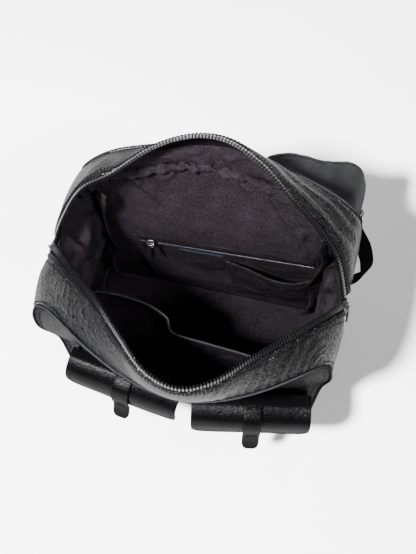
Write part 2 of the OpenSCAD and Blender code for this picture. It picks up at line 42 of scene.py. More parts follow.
HALF_W, HALF_D, PANEL_H = 150.0, 75.0, 334.0
FRONT_BOW, BACK_BOW, BOW_SHIFT = 76.0, 45.0, 8.0
CORNER_R, BASE_R = 45.0, 12.0
ARC_Z = PANEL_H - CORNER_R
BAND_Z = ARC_Z - 4
LEATHER, CLOTH = 2.0, 1.2
FRONT_MOUTH = [
    (-153, -18, 316), (-138, -31, 330), (-114, -54, 348), (-86, -80, 366), (-55, -113, 384),
    (-24, -143, 395), (10, -154, 398), (42, -140, 396), (74, -104, 381), (104, -72, 362),
    (132, -39, 338), (151, -15, 316)]
BACK_MOUTH = [
    (-153, -18, 316), (-148, 0, 335), (-133, 28, 360), (-104, 46, 376), (-71, 74, 392),
    (-34, 93, 401), (3, 96, 402), (42, 80, 397), (78, 55, 385), (110, 36, 368),
    (134, 16, 347), (151, -15, 316)]


# ---------- small helpers ----------

def linear(hex_colour):
    """An sRGB hex colour as linear RGBA."""
    out = []
    for i in (1, 3, 5):
        c = int(hex_colour[i:i + 2], 16) / 255
        out.append(c / 12.92 if c <= 0.04045 else ((c + 0.055) / 1.055) ** 2.4)
    return (*out, 1.0)


def clamp(x, low=0.0, high=1.0):
    return min(max(x, low), high)


def ease(x):
    x = clamp(x)
    return x * x * (3 - 2 * x)


def on_curve(points, t):
    """Point at share t of a smooth curve through the points."""
    n = len(points) - 1
    s = clamp(t) * n
    i = min(int(s), n - 1)
    f = s - i
    a, b = Vector(points[max(i - 1, 0)]), Vector(points[i])
    c, d = Vector(points[i + 1]), Vector(points[min(i + 2, n)])
    return 0.5 * (2 * b + (c - a) * f + (2 * a - 5 * b + 4 * c - d) * f * f
                  + (3 * b - a - 3 * c + d) * f * f * f)


def rough(p, size, seed=0.0):
    """Smooth noise between -1 and 1 with lumps of the given size in millimetres."""
    return noise.noise(Vector((p[0] / size + seed * 7.3, p[1] / size - seed * 3.1,
                               p[2] / size + seed * 5.7)))


def crease(p, size, seed=0.0):
    """Sharp-bottomed folds: 0 between them, 1 on a fold's line."""
    return max(1 - abs(rough(p, size, seed)) * 3.2, 0.0)


def uneven(amount, size, seed=0.0):
    """Relief of soft lumps, the same all over a piece."""
    return lambda u, v, p: amount * rough(p, size, seed)


def inside_edges(u, v, by_u, by_v):
    """0 on all four edges of a sheet, 1 further in."""
    return ease(min(u, 1 - u) * by_u) * ease(min(v, 1 - v) * by_v)


def heading(route, i):
    return route[min(i + 1, len(route) - 1)] - route[max(i - 1, 0)]


# ---------- the body's curved walls ----------

def tuck(z):
    return BASE_R - math.sqrt(BASE_R ** 2 - (BASE_R - z) ** 2) if z < BASE_R else 0.0


def front_y(x, z):
    reach = HALF_W + 2 + (BOW_SHIFT if x < BOW_SHIFT else -BOW_SHIFT)
    shape = 1 - (abs(x - BOW_SHIFT) / reach) ** 1.8
    return -HALF_D + tuck(z) - FRONT_BOW * shape * (max(z, 0) / PANEL_H) ** 1.7


def back_y(x, z):
    shape = 1 - min(abs(x) / HALF_W, 1) ** 1.6
    return HALF_D - tuck(z) + BACK_BOW * shape * (max(z, 0) / PANEL_H) ** 4


def half_at(z, inset=0.0):
    if z <= ARC_Z:
        return HALF_W - tuck(z) - inset
    r = CORNER_R - inset
    return HALF_W - CORNER_R + math.sqrt(max(r * r - (z - ARC_Z) ** 2, 0))


def seam_xz(q):
    side, arc, top = ARC_Z - BAND_Z, CORNER_R * math.pi / 2, 2 * (HALF_W - CORNER_R)
    whole = 2 * side + 2 * arc + top
    s = (q if q <= 0.5 else 1 - q) * whole
    a = clamp((s - side) / arc) * math.pi / 2
    if s < side:
        x, z = -HALF_W, BAND_Z + s
    elif s < side + arc:
        x, z = -HALF_W + CORNER_R * (1 - math.cos(a)), ARC_Z + CORNER_R * math.sin(a)
    else:
        x, z = -HALF_W + CORNER_R + s - side - arc, PANEL_H
    return (x, z) if q <= 0.5 else (-x, z)


def band(back, q, s, full=5.0):
    """Mouth band from the panel's seam (s = 0) to the zip's edge (s = 1)."""
    x, z = seam_xz(q)
    mouth = BACK_MOUTH if back else FRONT_MOUTH
    a = Vector((x, (back_y if back else front_y)(x, z), z))
    b = on_curve(mouth, q)
    along = on_curve(mouth, min(q + 0.01, 1)) - on_curve(mouth, max(q - 0.01, 0))
    out = (b - a).cross(along).normalized() * (1 if back else -1)
    return a + (b - a) * s + out * full * 4 * s * (1 - s)


def mouth_end(side):
    return Vector(FRONT_MOUTH[0 if side < 0 else -1])


# ---------- meshes ----------

def linked(name, data):
    """A new object of the scene that holds the data."""
    piece = bpy.data.objects.new(name, data)
    bpy.context.scene.collection.objects.link(piece)
    return piece


def rounded(piece, width_mm, from_angle):
    rim = piece.modifiers.new("rounded edge", "BEVEL")
    rim.limit_method = "ANGLE"
    rim.angle_limit = math.radians(from_angle)
    rim.width = width_mm / 1000
    rim.segments = 2


def tube_faces(rings, sides):
    """Side faces of rings of points that follow one another."""
    faces = []
    for i in range(rings - 1):
        for k in range(sides):
            q = (k + 1) % sides
            faces.append((i * sides + k, i * sides + q, (i + 1) * sides + q, (i + 1) * sides + k))
    return faces


def new_piece(name, verts, faces, material, uv=None):
    mesh = bpy.data.meshes.new(name)
    mesh.from_pydata([tuple(v / 1000 for v in p) for p in verts], [], faces)
    if uv:
        layer = mesh.uv_layers.new(name="cut")
        for loop in mesh.loops:
            u, v = uv[loop.vertex_index]
            layer.data[loop.index].uv = (u / 1000, v / 1000)
    mesh.materials.append(material)
    mesh.validate()
    mesh.update()
    mesh.polygons.foreach_set("use_smooth", [True] * len(mesh.polygons))
    return linked(name, mesh)


def normals_of(grid, closed=False):
    ni, nj = len(grid), len(grid[0])
    out = []
    for i in range(ni):
        row = []
        for j in range(nj):
            u = grid[min(i + 1, ni - 1)][j] - grid[max(i - 1, 0)][j]
            if closed:
                v = grid[i][(j + 1) % nj] - grid[i][(j - 1) % nj]
            else:
                v = grid[i][min(j + 1, nj - 1)] - grid[i][max(j - 1, 0)]
            n = u.cross(v)
            row.append(n.normalized() if n.length > 1e-9 else Vector((0, 0, 0)))
        out.append(row)
    return out


def surface(point, nu, nv):
    return [[Vector(point(i / nu, j / nv)) for j in range(nv + 1)] for i in range(nu + 1)]


def shell(name, grid, thick, material, body, nodes=(), lift=0.0, relief=None, bevel=0.5, back_relief=0.0):
    """Sheet of the given thickness under a grid whose normals look out of its good side.
    relief(i share, j share, point) pushes the good side out; the back follows by back_relief."""
    normals = normals_of(grid)
    ni, nj = len(grid), len(grid[0])
    top, bottom = [], []
    for i in range(ni):
        for j in range(nj):
            p, n = grid[i][j], normals[i][j]
            r = relief(i / (ni - 1), j / (nj - 1), p) if relief else 0.0
            top.append(p + n * (lift + r))
            bottom.append(p + n * (lift - thick + r * back_relief))
    def idx(i, j):
        return i * nj + j
    m = ni * nj
    faces = []
    for i in range(ni - 1):
        for j in range(nj - 1):
            a, b, c, d = idx(i, j), idx(i + 1, j), idx(i + 1, j + 1), idx(i, j + 1)
            faces.append((a, b, c, d))
            faces.append((m + d, m + c, m + b, m + a))
    for i in range(ni - 1):
        faces.append((m + idx(i, 0), m + idx(i + 1, 0), idx(i + 1, 0), idx(i, 0)))
        faces.append((idx(i, nj - 1), idx(i + 1, nj - 1), m + idx(i + 1, nj - 1), m + idx(i, nj - 1)))
    for j in range(nj - 1):
        faces.append((idx(0, j), idx(0, j + 1), m + idx(0, j + 1), m + idx(0, j)))
        faces.append((m + idx(ni - 1, j), m + idx(ni - 1, j + 1), idx(ni - 1, j + 1), idx(ni - 1, j)))
    du = [0.0]
    mid = nj // 2
    for i in range(1, ni):
        du.append(du[-1] + (grid[i][mid] - grid[i - 1][mid]).length)
    dv = [0.0]
    mid = ni // 2
    for j in range(1, nj):
        dv.append(dv[-1] + (grid[mid][j] - grid[mid][j - 1]).length)
    uv = [(du[i], dv[j]) for i in range(ni) for j in range(nj)] * 2
    piece = new_piece(name, top + bottom, faces, material, uv)
    if bevel:
        rounded(piece, bevel, 50)
    return settle(piece, body, nodes)


# centre, reach and push of each bulge, in millimetres
SLUMPS = [((-150, -66, 262), 62, (-15, -6, 0)), ((-142, -70, 215), 40, (-9, -4, 0)),
          ((150, 84, 300), 52, (4, 6, 3)), ((150, -70, 250), 45, (6, -2, 0))]
SLUMP_END = 2.2
PULLER_Y, PULLER_CLEAR = -18, 28


def slump(p):
    """The stiff hide stands out at the corners: a soft push on every bag point near them, in metres.
    On the left it fades out before the zip puller's path."""
    out = Vector(p)
    for centre, reach, push in SLUMPS:
        d = (Vector(p) * 1000 - Vector(centre)).length / reach
        if d < SLUMP_END:
            clear = ease((PULLER_Y - p[1] * 1000) / PULLER_CLEAR) if centre[0] < 0 else 1.0
            out += Vector(push) / 1000 * (math.exp(-d * d * 1.6) * ease((SLUMP_END - d) / 0.6) * clear)
    return out


def settle(piece, body, nodes=()):
    """Ties a finished piece to its body; a part that is still to be joined has none."""
    if not body:
        return piece
    if body == "bag":
        for v in piece.data.vertices:
            v.co = slump(v.co)
    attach(piece, body)
    if nodes:
        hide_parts(*nodes)
    return piece


def sweep_grid(route, sides, section, widths=None):
    """Rings of a section, in [across, up] pairs, swept along a route."""
    n = len(route)
    rings = []
    for i in range(n):
        t = heading(route, i).normalized()
        up = t.cross(sides[i]).normalized()
        across = up.cross(t)
        k = widths[i] if widths else 1.0
        rings.append([route[i] + across * (q[0] * k) + up * q[1] for q in section])
    return rings


def swept(name, route, sides, section, material, body, nodes=(), widths=None, relief=None):
    rings = sweep_grid(route, sides, section, widths)
    n, m = len(rings), len(section)
    if relief:
        normals = normals_of(rings, closed=True)
        rings = [[p - nn * relief(i / (n - 1), j / m, p) for j, (p, nn) in enumerate(zip(ring, row))]
                 for i, (ring, row) in enumerate(zip(rings, normals))]
    verts = [p for ring in rings for p in ring]
    faces = [tuple(range(m - 1, -1, -1)), tuple((n - 1) * m + k for k in range(m))] + tube_faces(n, m)
    du, dv = [0.0], [0.0]
    for i in range(1, n):
        du.append(du[-1] + (route[i] - route[i - 1]).length)
    for k in range(1, m):
        dv.append(dv[-1] + math.dist(section[k], section[k - 1]))
    piece = new_piece(name, verts, faces, material, [(du[i], dv[k]) for i in range(n) for k in range(m)])
    return settle(piece, body, nodes)


def oval(w, t, n=24, power=2.0):
    """Section of a strap: width w, thickness t, its edges rounder or squarer by the power."""
    out = []
    for k in range(n):
        a = 2 * math.pi * k / n
        c, s = math.cos(a), math.sin(a)
        out.append((math.copysign(abs(c) ** (2 / power), c) * w / 2,
                    math.copysign(abs(s) ** (2 / power), s) * t / 2))
    return out


def resample(points, n):
    return [on_curve(points, i / n) for i in range(n + 1)]


# ---------- finishes ----------

def add(tree, kind, values=None, links=None, **settings):
    """A node with its settings, its unlinked values and its links from other nodes' outputs."""
    node = tree.nodes.new("ShaderNode" + kind)
    for key, value in settings.items():
        setattr(node, key, value)
    for key, value in (values or {}).items():
        node.inputs[key].default_value = value
    for key, (source, output) in (links or {}).items():
        tree.links.new(source.outputs[output], node.inputs[key])
    return node


def cloudy(tree, where, scale, detail, **values):
    """Noise in the piece's own space."""
    return add(tree, "TexNoise", {"Scale": scale, "Detail": detail, **values}, {"Vector": (where, "Object")})


def sums(tree, operation, *terms):
    """One step of arithmetic; each term is a number or another node's (node, output)."""
    return add(tree, "Math", {i: t for i, t in enumerate(terms) if not isinstance(t, tuple)},
               {i: t for i, t in enumerate(terms) if isinstance(t, tuple)}, operation=operation)


def blend(tree, dark, light, share):
    return add(tree, "MixRGB", {"Color1": linear(dark), "Color2": linear(light)}, {"Fac": share})


def ramp(tree, source, a, b, low=0.0, high=1.0, **settings):
    """Takes the span a to b of another node's (node, output) to the span low to high, and stops there."""
    return add(tree, "MapRange", {"From Min": a, "From Max": b, "To Min": low, "To Max": high},
               {"Value": source}, **settings)


def start(name, **constants):
    """A new material and its shader, with the values that are the same all over the surface."""
    material = bpy.data.materials.new(name)
    material.use_nodes = True
    tree = material.node_tree
    tree.nodes.clear()
    shader = add(tree, "BsdfPrincipled", constants)
    add(tree, "OutputMaterial", links={"Surface": (shader, "BSDF")})
    return material, tree, shader


def wire_up(tree, shader, **sources):
    """Links (node, output) pairs to the shader's inputs; an input's spaces are underscores here."""
    for key, (source, output) in sources.items():
        tree.links.new(source.outputs[output], shader.inputs[key.replace("_", " ")])


def fold_lines(tree, where, centre, reach, period_mm, direction=None):
    """Fine pressed folds: rings round a centre, or lines across a direction, broken up and fading out."""
    rel = add(tree, "VectorMath", {1: tuple(c / 1000 for c in centre)}, {0: (where, "Object")},
              operation="SUBTRACT")
    away = add(tree, "VectorMath", links={0: (rel, "Vector")}, operation="LENGTH")
    base = away
    if direction:
        base = add(tree, "VectorMath", {1: direction}, {0: (rel, "Vector")}, operation="DOT_PRODUCT")
    wobble = cloudy(tree, where, 55.0, 3.0)
    turns = sums(tree, "MULTIPLY", (base, "Value"), 2000 * math.pi / period_mm)
    phase = sums(tree, "MULTIPLY_ADD", (wobble, "Fac"), 17.0, (turns, "Value"))
    wave = sums(tree, "SINE", (phase, "Value"))
    crest = ramp(tree, (wave, "Value"), 0.05, 1.0, interpolation_type="SMOOTHSTEP")
    fade = ramp(tree, (away, "Value"), reach * 0.00055, reach * 0.001, 1.0, 0.0)
    breaks = cloudy(tree, where, 90.0, 2.0)
    broken = ramp(tree, (breaks, "Fac"), 0.38, 0.6, 0.25)
    part = sums(tree, "MULTIPLY", (crest, "Result"), (fade, "Result"))
    return sums(tree, "MULTIPLY", (part, "Value"), (broken, "Result"))


def leather(name, groove, crown, pebble_mm, depth_mm, gloss, coat=0.12, folds=()):
    """Chrome-tanned hide pressed with a pebble grain under a thin finish coat: dark grooves, broken gloss."""
    material, tree, shader = start(name, **{"Specular IOR Level": 0.0, "Roughness": 0.7, "Coat Weight": coat,
                                            "Coat Roughness": gloss, "Coat IOR": 1.5})
    where = add(tree, "TexCoord")
    drift = cloudy(tree, where, 1000 / (pebble_mm * 2.2), 2.0)
    bent = add(tree, "VectorMath", {1: (0.0011 * pebble_mm,) * 3},
               {0: (drift, "Color"), 2: (where, "Object")}, operation="MULTIPLY_ADD")

    def cells(scale, feature):
        return add(tree, "TexVoronoi", {"Scale": scale / pebble_mm}, {"Vector": (bent, "Vector")},
                   feature=feature)
    edges = cells(1000, "DISTANCE_TO_EDGE")
    pebble = ramp(tree, (edges, "Distance"), 0.0, 0.26, interpolation_type="SMOOTHSTEP")
    small = cells(2400, "DISTANCE_TO_EDGE")
    pores = ramp(tree, (small, "Distance"), 0.0, 0.16, 0.0, 0.3)
    middle = cells(1000, "F1")
    # each pebble is a dome: the height falls with the square of the distance from its middle
    fall = sums(tree, "POWER", (middle, "Distance"), 2.0)
    grain = sums(tree, "MULTIPLY_ADD", (fall, "Value"), -1.6, (pores, "Result"))
    # broad patches where the hide was stretched and handled
    patch = cloudy(tree, where, 28.0, 3.0, Roughness=0.6)
    tone = blend(tree, groove, crown, (pebble, "Result"))
    shade = ramp(tree, (patch, "Fac"), 0.3, 0.7, 0.7, 1.3)
    colour = add(tree, "VectorMath", links={0: (tone, "Color"), 1: (shade, "Result")}, operation="MULTIPLY")
    wrinkle = cloudy(tree, where, 120.0, 4.0, Distortion=0.8)
    last = add(tree, "Bump", {"Strength": 0.5, "Distance": depth_mm * 0.0018}, {"Height": (wrinkle, "Fac")})
    for fold in folds:
        lines = fold_lines(tree, where, *fold)
        last = add(tree, "Bump", {"Strength": 1.0, "Distance": 0.0024},
                   {"Height": (lines, "Value"), "Normal": (last, "Normal")})
    bump = add(tree, "Bump", {"Strength": 0.9, "Distance": depth_mm / 1000},
               {"Height": (grain, "Value"), "Normal": (last, "Normal")})
    wire_up(tree, shader, Base_Color=(colour, "Vector"), Normal=(bump, "Normal"),
            Coat_Normal=(bump, "Normal"))
    return material


def woven(name, warp, weft, pitch_mm, depth_mm, slant=1.0, roughness=0.85):
    """Cloth with diagonal ribs on the piece's own flat cut: two thread colours, dull all over."""
    material, tree, shader = start(name, **{"Roughness": roughness, "Specular IOR Level": 0.0})
    where = add(tree, "TexCoord")
    cut = add(tree, "SeparateXYZ", links={"Vector": (where, "UV")})
    lean = sums(tree, "MULTIPLY", (cut, "Y"), slant)
    across = sums(tree, "ADD", (cut, "X"), (lean, "Value"))
    count = sums(tree, "MULTIPLY", (across, "Value"), 1000 / pitch_mm)
    rib = sums(tree, "PINGPONG", (count, "Value"), 0.5)
    other = sums(tree, "SUBTRACT", (cut, "X"), (lean, "Value"))
    finer = sums(tree, "MULTIPLY", (other, "Value"), 1600 / pitch_mm)
    pick = sums(tree, "PINGPONG", (finer, "Value"), 0.5)
    both = sums(tree, "MULTIPLY_ADD", (pick, "Value"), 0.45, (rib, "Value"))
    cloud, fuzz = cloudy(tree, where, 45.0, 4.0), cloudy(tree, where, 560.0, 3.0)
    crown = ramp(tree, (both, "Value"), 0.0, 0.7)
    tone = blend(tree, weft, warp, (crown, "Result"))
    worn = ramp(tree, (cloud, "Fac"), 0.3, 0.7, 0.82, 1.16)
    slub = ramp(tree, (fuzz, "Fac"), 0.32, 0.68, 0.5, 1.7)
    mixed = sums(tree, "MULTIPLY", (worn, "Result"), (slub, "Result"))
    colour = add(tree, "VectorMath", links={0: (tone, "Color"), 1: (mixed, "Value")}, operation="MULTIPLY")
    high = sums(tree, "MULTIPLY_ADD", (fuzz, "Fac"), 0.3, (both, "Value"))
    bump = add(tree, "Bump", {"Strength": 0.7, "Distance": depth_mm / 1000}, {"Height": (high, "Value")})
    wire_up(tree, shader, Base_Color=(colour, "Vector"), Normal=(bump, "Normal"))
    return material


def plated(name, dark, light, gloss):
    """Cast zinc, barrel polished and plated with black nickel: dark mirror with faint tumbling marks."""
    material, tree, shader = start(name, **{"Metallic": 1.0})
    marks = cloudy(tree, add(tree, "TexCoord"), 420.0, 4.0, Roughness=0.7)
    tone = blend(tree, dark, light, (marks, "Fac"))
    rubbed = ramp(tree, (marks, "Fac"), 0.0, 1.0, gloss - 0.08, gloss + 0.12)
    bump = add(tree, "Bump", {"Strength": 0.25, "Distance": 0.0001}, {"Height": (marks, "Fac")})
    wire_up(tree, shader, Base_Color=(tone, "Color"), Roughness=(rubbed, "Result"), Normal=(bump, "Normal"))
    return material


def plain(name, dark, light, size_mm, depth_mm, roughness, **constants):
    """Even surface with a faint mottle and a fine tooth."""
    material, tree, shader = start(name, **{"Roughness": roughness, **constants})
    mottle = cloudy(tree, add(tree, "TexCoord"), 1000 / size_mm, 4.0)
    tone = blend(tree, dark, light, (mottle, "Fac"))
    bump = add(tree, "Bump", {"Strength": 0.5, "Distance": depth_mm / 1000}, {"Height": (mottle, "Fac")})
    wire_up(tree, shader, Base_Color=(tone, "Color"), Normal=(bump, "Normal"))
    return material


pebbled = leather("pebbled cowhide, semi-gloss black", "#020202", "#070708", 3.3, 0.85, 0.17, 0.08)
# A lighter copy of the same hide for the back, the gussets, the base, the yoke and the lower tabs, where the
# lamps barely reach: painted light.
panel_hide_painted_light = leather("pebbled cowhide, semi-gloss, as cut", "#09090a", "#141416", 3.3, 0.85, 0.17, 0.13)
# The mouth bands take a darker copy of the same hide: painted shade, black between the coat's glints.
squeezed = leather("pebbled cowhide, folded where the mouth turns", "#010101", "#020203", 3.3, 0.75, 0.17,
                   0.25, [((140, -84, 322), 92, 6.4), ((122, 62, 342), 60, 5.0, (0.265, 0.583, -0.768)),
                    ((-96, -78, 350), 48, 7.0, (0.5, -0.3, 0.8))])
smooth = leather("fine-grained cowhide, glossy black", "#020202", "#040405", 2.4, 0.13, 0.26, 0.06)
# The shoulder pads' hide is painted lighter than the rest: a painted sheen in place of the reflection they
# catch.
strap_hide_painted_sheen = leather("fine-grained cowhide, dull, painted lighter for its sheen", "#161618", "#1f1f21", 2.4, 0.3, 0.4, 0.1)
twill = woven("cotton twill lining, washed black", "#1a161a", "#0c0a0c", 1.7, 0.4)
# A darker copy of the lining for the floor, the pockets, the sleeve and the organizer: painted shade for the
# depth of the bag.
twill_painted_shade = woven("cotton twill lining, unfaded, of the pockets and floor", "#151215", "#0a080a", 1.7, 0.4)
tape_cloth = woven("polyester zip tape, plum black", "#0c0a0c", "#050405", 1.5, 0.3, slant=0.0,
                   roughness=0.75)
strap_web = woven("nylon webbing, black", "#0a0a0b", "#030304", 1.9, 0.4, slant=0.5, roughness=0.6)
nickel = plated("black nickel plate", "#232324", "#4c4b4d", 0.28)
# The piping and the organizer's trim are painted light grey: a painted highlight of the edge catching the
# light.
edge_painted_highlight = plain("folded edge, painted light grey for its highlight", "#161618", "#242426", 3.0, 0.05, 0.4,
                   **{"Specular IOR Level": 0.0})
thread = plain("bonded nylon thread, black", "#040405", "#080809", 0.8, 0.1, 0.5,
               **{"Specular IOR Level": 0.03})
patch_hide = plain("smooth goat leather, slate", "#182028", "#222b34", 4.0, 0.08, 0.5,
                   **{"Specular IOR Level": 0.1})
foam_skin = plain("closed-cell foam, charcoal", "#141416", "#1e1e20", 1.2, 0.2, 0.9)
board = plain("pressed fibreboard, brown", "#33291e", "#44392b", 1.5, 0.1, 0.8)


# ---------- rows of repeated bits ----------

def row_tree():
    """Geometry Nodes: one bit at every pitch along a path, facing out along the path's stored normal."""
    tree = bpy.data.node_groups.new("row along a path", "GeometryNodeTree")
    face = tree.interface
    face.new_socket("Path", in_out="INPUT", socket_type="NodeSocketGeometry")
    for label, kind in (("Bit", "Object"), ("Pitch", "Float"), ("Finish", "Material")):
        face.new_socket(label, in_out="INPUT", socket_type="NodeSocket" + kind)
    face.new_socket("Row", in_out="OUTPUT", socket_type="NodeSocketGeometry")

    def put(kind, links=None, **settings):
        node = tree.nodes.new(kind)
        for key, value in settings.items():
            setattr(node, key, value)
        for key, (source, output) in (links or {}).items():
            tree.links.new(source.outputs[output], node.inputs[key])
        return node
    given = put("NodeGroupInput")
    path = put("GeometryNodeMeshToCurve", {"Mesh": (given, "Path")})
    spaced = put("GeometryNodeResampleCurve", {"Curve": (path, "Curve"), "Length": (given, "Pitch")},
                 mode="LENGTH")
    points = put("GeometryNodeCurveToPoints", {"Curve": (spaced, "Curve")}, mode="EVALUATED")
    along = put("FunctionNodeAlignEulerToVector", {"Vector": (points, "Tangent")}, axis="X")
    out = put("GeometryNodeInputNamedAttribute", data_type="FLOAT_VECTOR")
    out.inputs["Name"].default_value = "out"
    turned = put("FunctionNodeAlignEulerToVector",
                 {"Rotation": (along, "Rotation"), "Vector": (out, "Attribute")}, axis="Z", pivot_axis="X")
    bit = put("GeometryNodeObjectInfo", {"Object": (given, "Bit")})
    placed = put("GeometryNodeInstanceOnPoints", {"Points": (points, "Points"), "Instance": (bit, "Geometry"),
                                                  "Rotation": (turned, "Rotation")})
    real = put("GeometryNodeRealizeInstances", {"Geometry": (placed, "Instances")})
    painted = put("GeometryNodeSetMaterial", {"Geometry": (real, "Geometry"), "Material": (given, "Finish")})
    smooth_faces = put("GeometryNodeSetShadeSmooth", {"Geometry": (painted, "Geometry")})
    put("NodeGroupOutput", {"Row": (smooth_faces, "Geometry")})
    return tree


ROW = row_tree()


def rows(name, paths, bit, pitch_mm, material, body, nodes=(), shade_smooth=True):
    """One plain mesh of bits along several paths, each a list of (point, out direction)."""
    verts, edges, outs = [], [], []
    for path in paths:
        first = len(verts)
        verts += [tuple(v / 1000 for v in p) for p, _ in path]
        outs += [v for _, n in path for v in n]
        edges += [(first + i, first + i + 1) for i in range(len(path) - 1)]
    mesh = bpy.data.meshes.new(name + " path")
    mesh.from_pydata(verts, edges, [])
    mesh.attributes.new("out", "FLOAT_VECTOR", "POINT").data.foreach_set("vector", outs)
    holder = linked(name, mesh)
    growth = holder.modifiers.new("row", "NODES")
    growth.node_group = ROW
    names = {item.name: item.identifier for item in ROW.interface.items_tree if item.in_out == "INPUT"}
    growth[names["Bit"]] = bit
    growth[names["Pitch"]] = pitch_mm / 1000
    growth[names["Finish"]] = material
    bpy.context.view_layer.update()
    seen = holder.evaluated_get(bpy.context.evaluated_depsgraph_get())
    done = bpy.data.meshes.new_from_object(seen)
    holder.modifiers.remove(growth)
    holder.data = done
    done.materials.clear()
    done.materials.append(material)
    done.polygons.foreach_set("use_smooth", [shade_smooth] * len(done.polygons))
    return settle(holder, body, nodes)


def bit_of(name, verts, faces):
    mesh = bpy.data.meshes.new(name)
    mesh.from_pydata([tuple(c / 1000 for c in v) for v in verts], [], faces)
    return linked(name, mesh)


def grain_of_rice(length, radius, sides=6):
    """A stitch: fat in the middle, its ends diving into the hide."""
    half = [(-0.5, 0.35, -0.9), (-0.36, 0.8, -0.1), (-0.12, 1.0, 0.25)]
    stations = half + [(-x, k, z) for x, k, z in reversed(half)]
    verts = [(length * x, radius * k * math.cos(a), radius * (k * math.sin(a) + z))
             for x, k, z in stations for a in (2 * math.pi * i / sides for i in range(sides))]
    faces = [tuple(range(sides - 1, -1, -1)), tuple(range(len(verts) - sides, len(verts)))]
    return verts, faces + tube_faces(len(stations), sides)


def tooth_shape(w, l, h):
    """A metal tooth: stem clamped on the tape at -Y, head with a nib at +Y."""
    def block(x, y0, y1, z, tip=0.0):
        return [(-x, y0, -z), (x, y0, -z), (x - tip, y1, -z + tip), (-x + tip, y1, -z + tip),
                (-x, y0, z), (x, y0, z), (x - tip, y1, z - tip), (-x + tip, y1, z - tip)]
    verts = block(l / 2, -w / 2, w * 0.2, h / 2) + block(l * 0.36, w * 0.2, w / 2, h * 0.44, 0.3)
    verts += [(x * 0.55, y * 0.5 + w * 0.22, h / 2 * z) for z in (0.9, 1.25) for x, y in
              ((-1, -1), (1, -1), (1, 1), (-1, 1))]
    faces = []
    for k in range(3):
        b = 8 * k
        faces += [(b, b + 3, b + 2, b + 1), (b + 4, b + 5, b + 6, b + 7), (b, b + 1, b + 5, b + 4),
                  (b + 1, b + 2, b + 6, b + 5), (b + 2, b + 3, b + 7, b + 6), (b + 3, b, b + 4, b + 7)]
    return verts, faces


stitch_bit = bit_of("stitch", *grain_of_rice(3.0, 0.5))
fine_stitch_bit = bit_of("fine stitch", *grain_of_rice(2.3, 0.34))
tooth_bit = bit_of("tooth", *tooth_shape(6.0, 1.9, 3.0))
small_tooth_bit = bit_of("small tooth", *tooth_shape(3.4, 1.3, 2.0))


# ---------- body leather ----------

def wall_z(v):
    """Height at share v of a wall, with the round under-edge given the first share."""
    if v < 0.05:
        return BASE_R * (1 - math.cos(math.radians(v / 0.05 * 90)))
    return BASE_R + (PANEL_H - BASE_R) * (v - 0.05) / 0.95


def front_point(u, v):
    z = wall_z(v)
    x = (2 * u - 1) * half_at(z)
    return x, front_y(x, z), z


def back_point(u, v):
    z = wall_z(v)
    x = (1 - 2 * u) * half_at(z)
    return x, back_y(x, z), z


def hide_relief(seed, amount, fold=0.0, size=70.0):
    """Slow swells of stiff leather, with a few soft folds."""
    def relief(u, v, p):
        edge = inside_edges(u, v, 14, 14)
        swell = rough(p, size, seed) * amount + rough(p, size / 3, seed) * amount * 0.3
        bent = fold * ease(crease((p.x * 1.4, p.y, p.z * 0.45), 60, seed + 3))
        return (swell - bent) * edge
    return relief


shell("front_panel_leather", surface(front_point, 110, 120), LEATHER, pebbled, "bag", ["front_panel"],
      relief=hide_relief(1, 1.3, 1.2))
shell("back_panel_leather", surface(back_point, 110, 110), LEATHER, panel_hide_painted_light, "bag", ["back_panel"],
      relief=hide_relief(2, 1.4, 1.0))
INSET = LEATHER + 0.8


def side_point(side, f, z):
    """Gusset: from the front seam (f = 0) to the back seam (f = 1), sagging inward below the zip."""
    x = side * (HALF_W - tuck(z))
    y0, y1 = front_y(x, z) + INSET, back_y(x, z) - INSET
    y = y0 + (y1 - y0) * f
    sag = 5 * math.sin(math.pi * min(z / 300, 1)) * math.cos(math.pi / 2 * y / HALF_D)
    return Vector((x - side * sag, y, z))


def side_top(side, f, mid=0.38):
    """Upper edge of a gusset, sewn to the ends of both bands; the zip's end is at share mid."""
    q = 0.0 if side < 0 else 1.0
    p = band(False, q, f / mid) if f < mid else band(True, q, (1 - f) / (1 - mid))
    return p + Vector((-side * 1.6, 0, -0.8))


def side_surface(side, nu=60, nv=110):
    def point(u, v):
        f = u if side > 0 else 1 - u
        if v < 0.05:
            return side_point(side, f, wall_z(v))
        top = side_top(side, f)
        k = (v - 0.05) / 0.95
        z = BASE_R + (top.z - BASE_R) * k
        p = side_point(side, f, min(z, 300))
        blend = ease((k - 0.72) / 0.28)
        return Vector((p.x + (top.x - p.x) * blend, p.y + (top.y - p.y) * blend, z))
    return surface(point, nu, nv)


def side_relief(side):
    """Standing folds in the gusset where the open mouth pushes it together."""
    def relief(u, v, p):
        edge = inside_edges(u, v, 8, 12)
        high = ease((v - 0.3) / 0.5)
        lines = math.sin(p.y / 7.5 + rough(p, 45, 9 + side) * 3.5)
        return edge * (rough(p, 60, 6 + side) * 1.6 + high * 1.3 * lines * abs(lines))
    return relief


for side, word in ((-1, "left"), (1, "right")):
    shell(f"gusset_leather_{word}", side_surface(side), LEATHER, panel_hide_painted_light, "bag", [f"side_panel_{word}"],
          relief=side_relief(side))
base_edge = BASE_R + 1.6
base_w, base_d = HALF_W - base_edge, HALF_D - base_edge
shell("base_leather", surface(lambda u, v: ((2 * u - 1) * base_w, (1 - 2 * v) * base_d, 0), 40, 24), LEATHER,
      panel_hide_painted_light, "bag", ["base_panel"], bevel=0.8)


def band_surface(back, s0, s1, nu, nv):
    return surface(lambda u, v: band(back, 1 - u if back else u, s0 + (s1 - s0) * v), nu, nv)


def ripple(t, sharp=1.5):
    """Even folds with round crests and tight valleys, between -1 and 1."""
    w = math.sin(t)
    return math.copysign(abs(w) ** (1 / sharp), w)


def turned_edge(v):
    """The hide is folded under along the zip, so it stands twice as thick up to the second stitch row."""
    step, groove, rim = (v - 0.895) / 0.018, (v - 0.885) / 0.01, (v - 0.975) / 0.025
    return ease(step) - 0.5 * math.exp(-groove ** 2) - 0.5 * ease(rim)


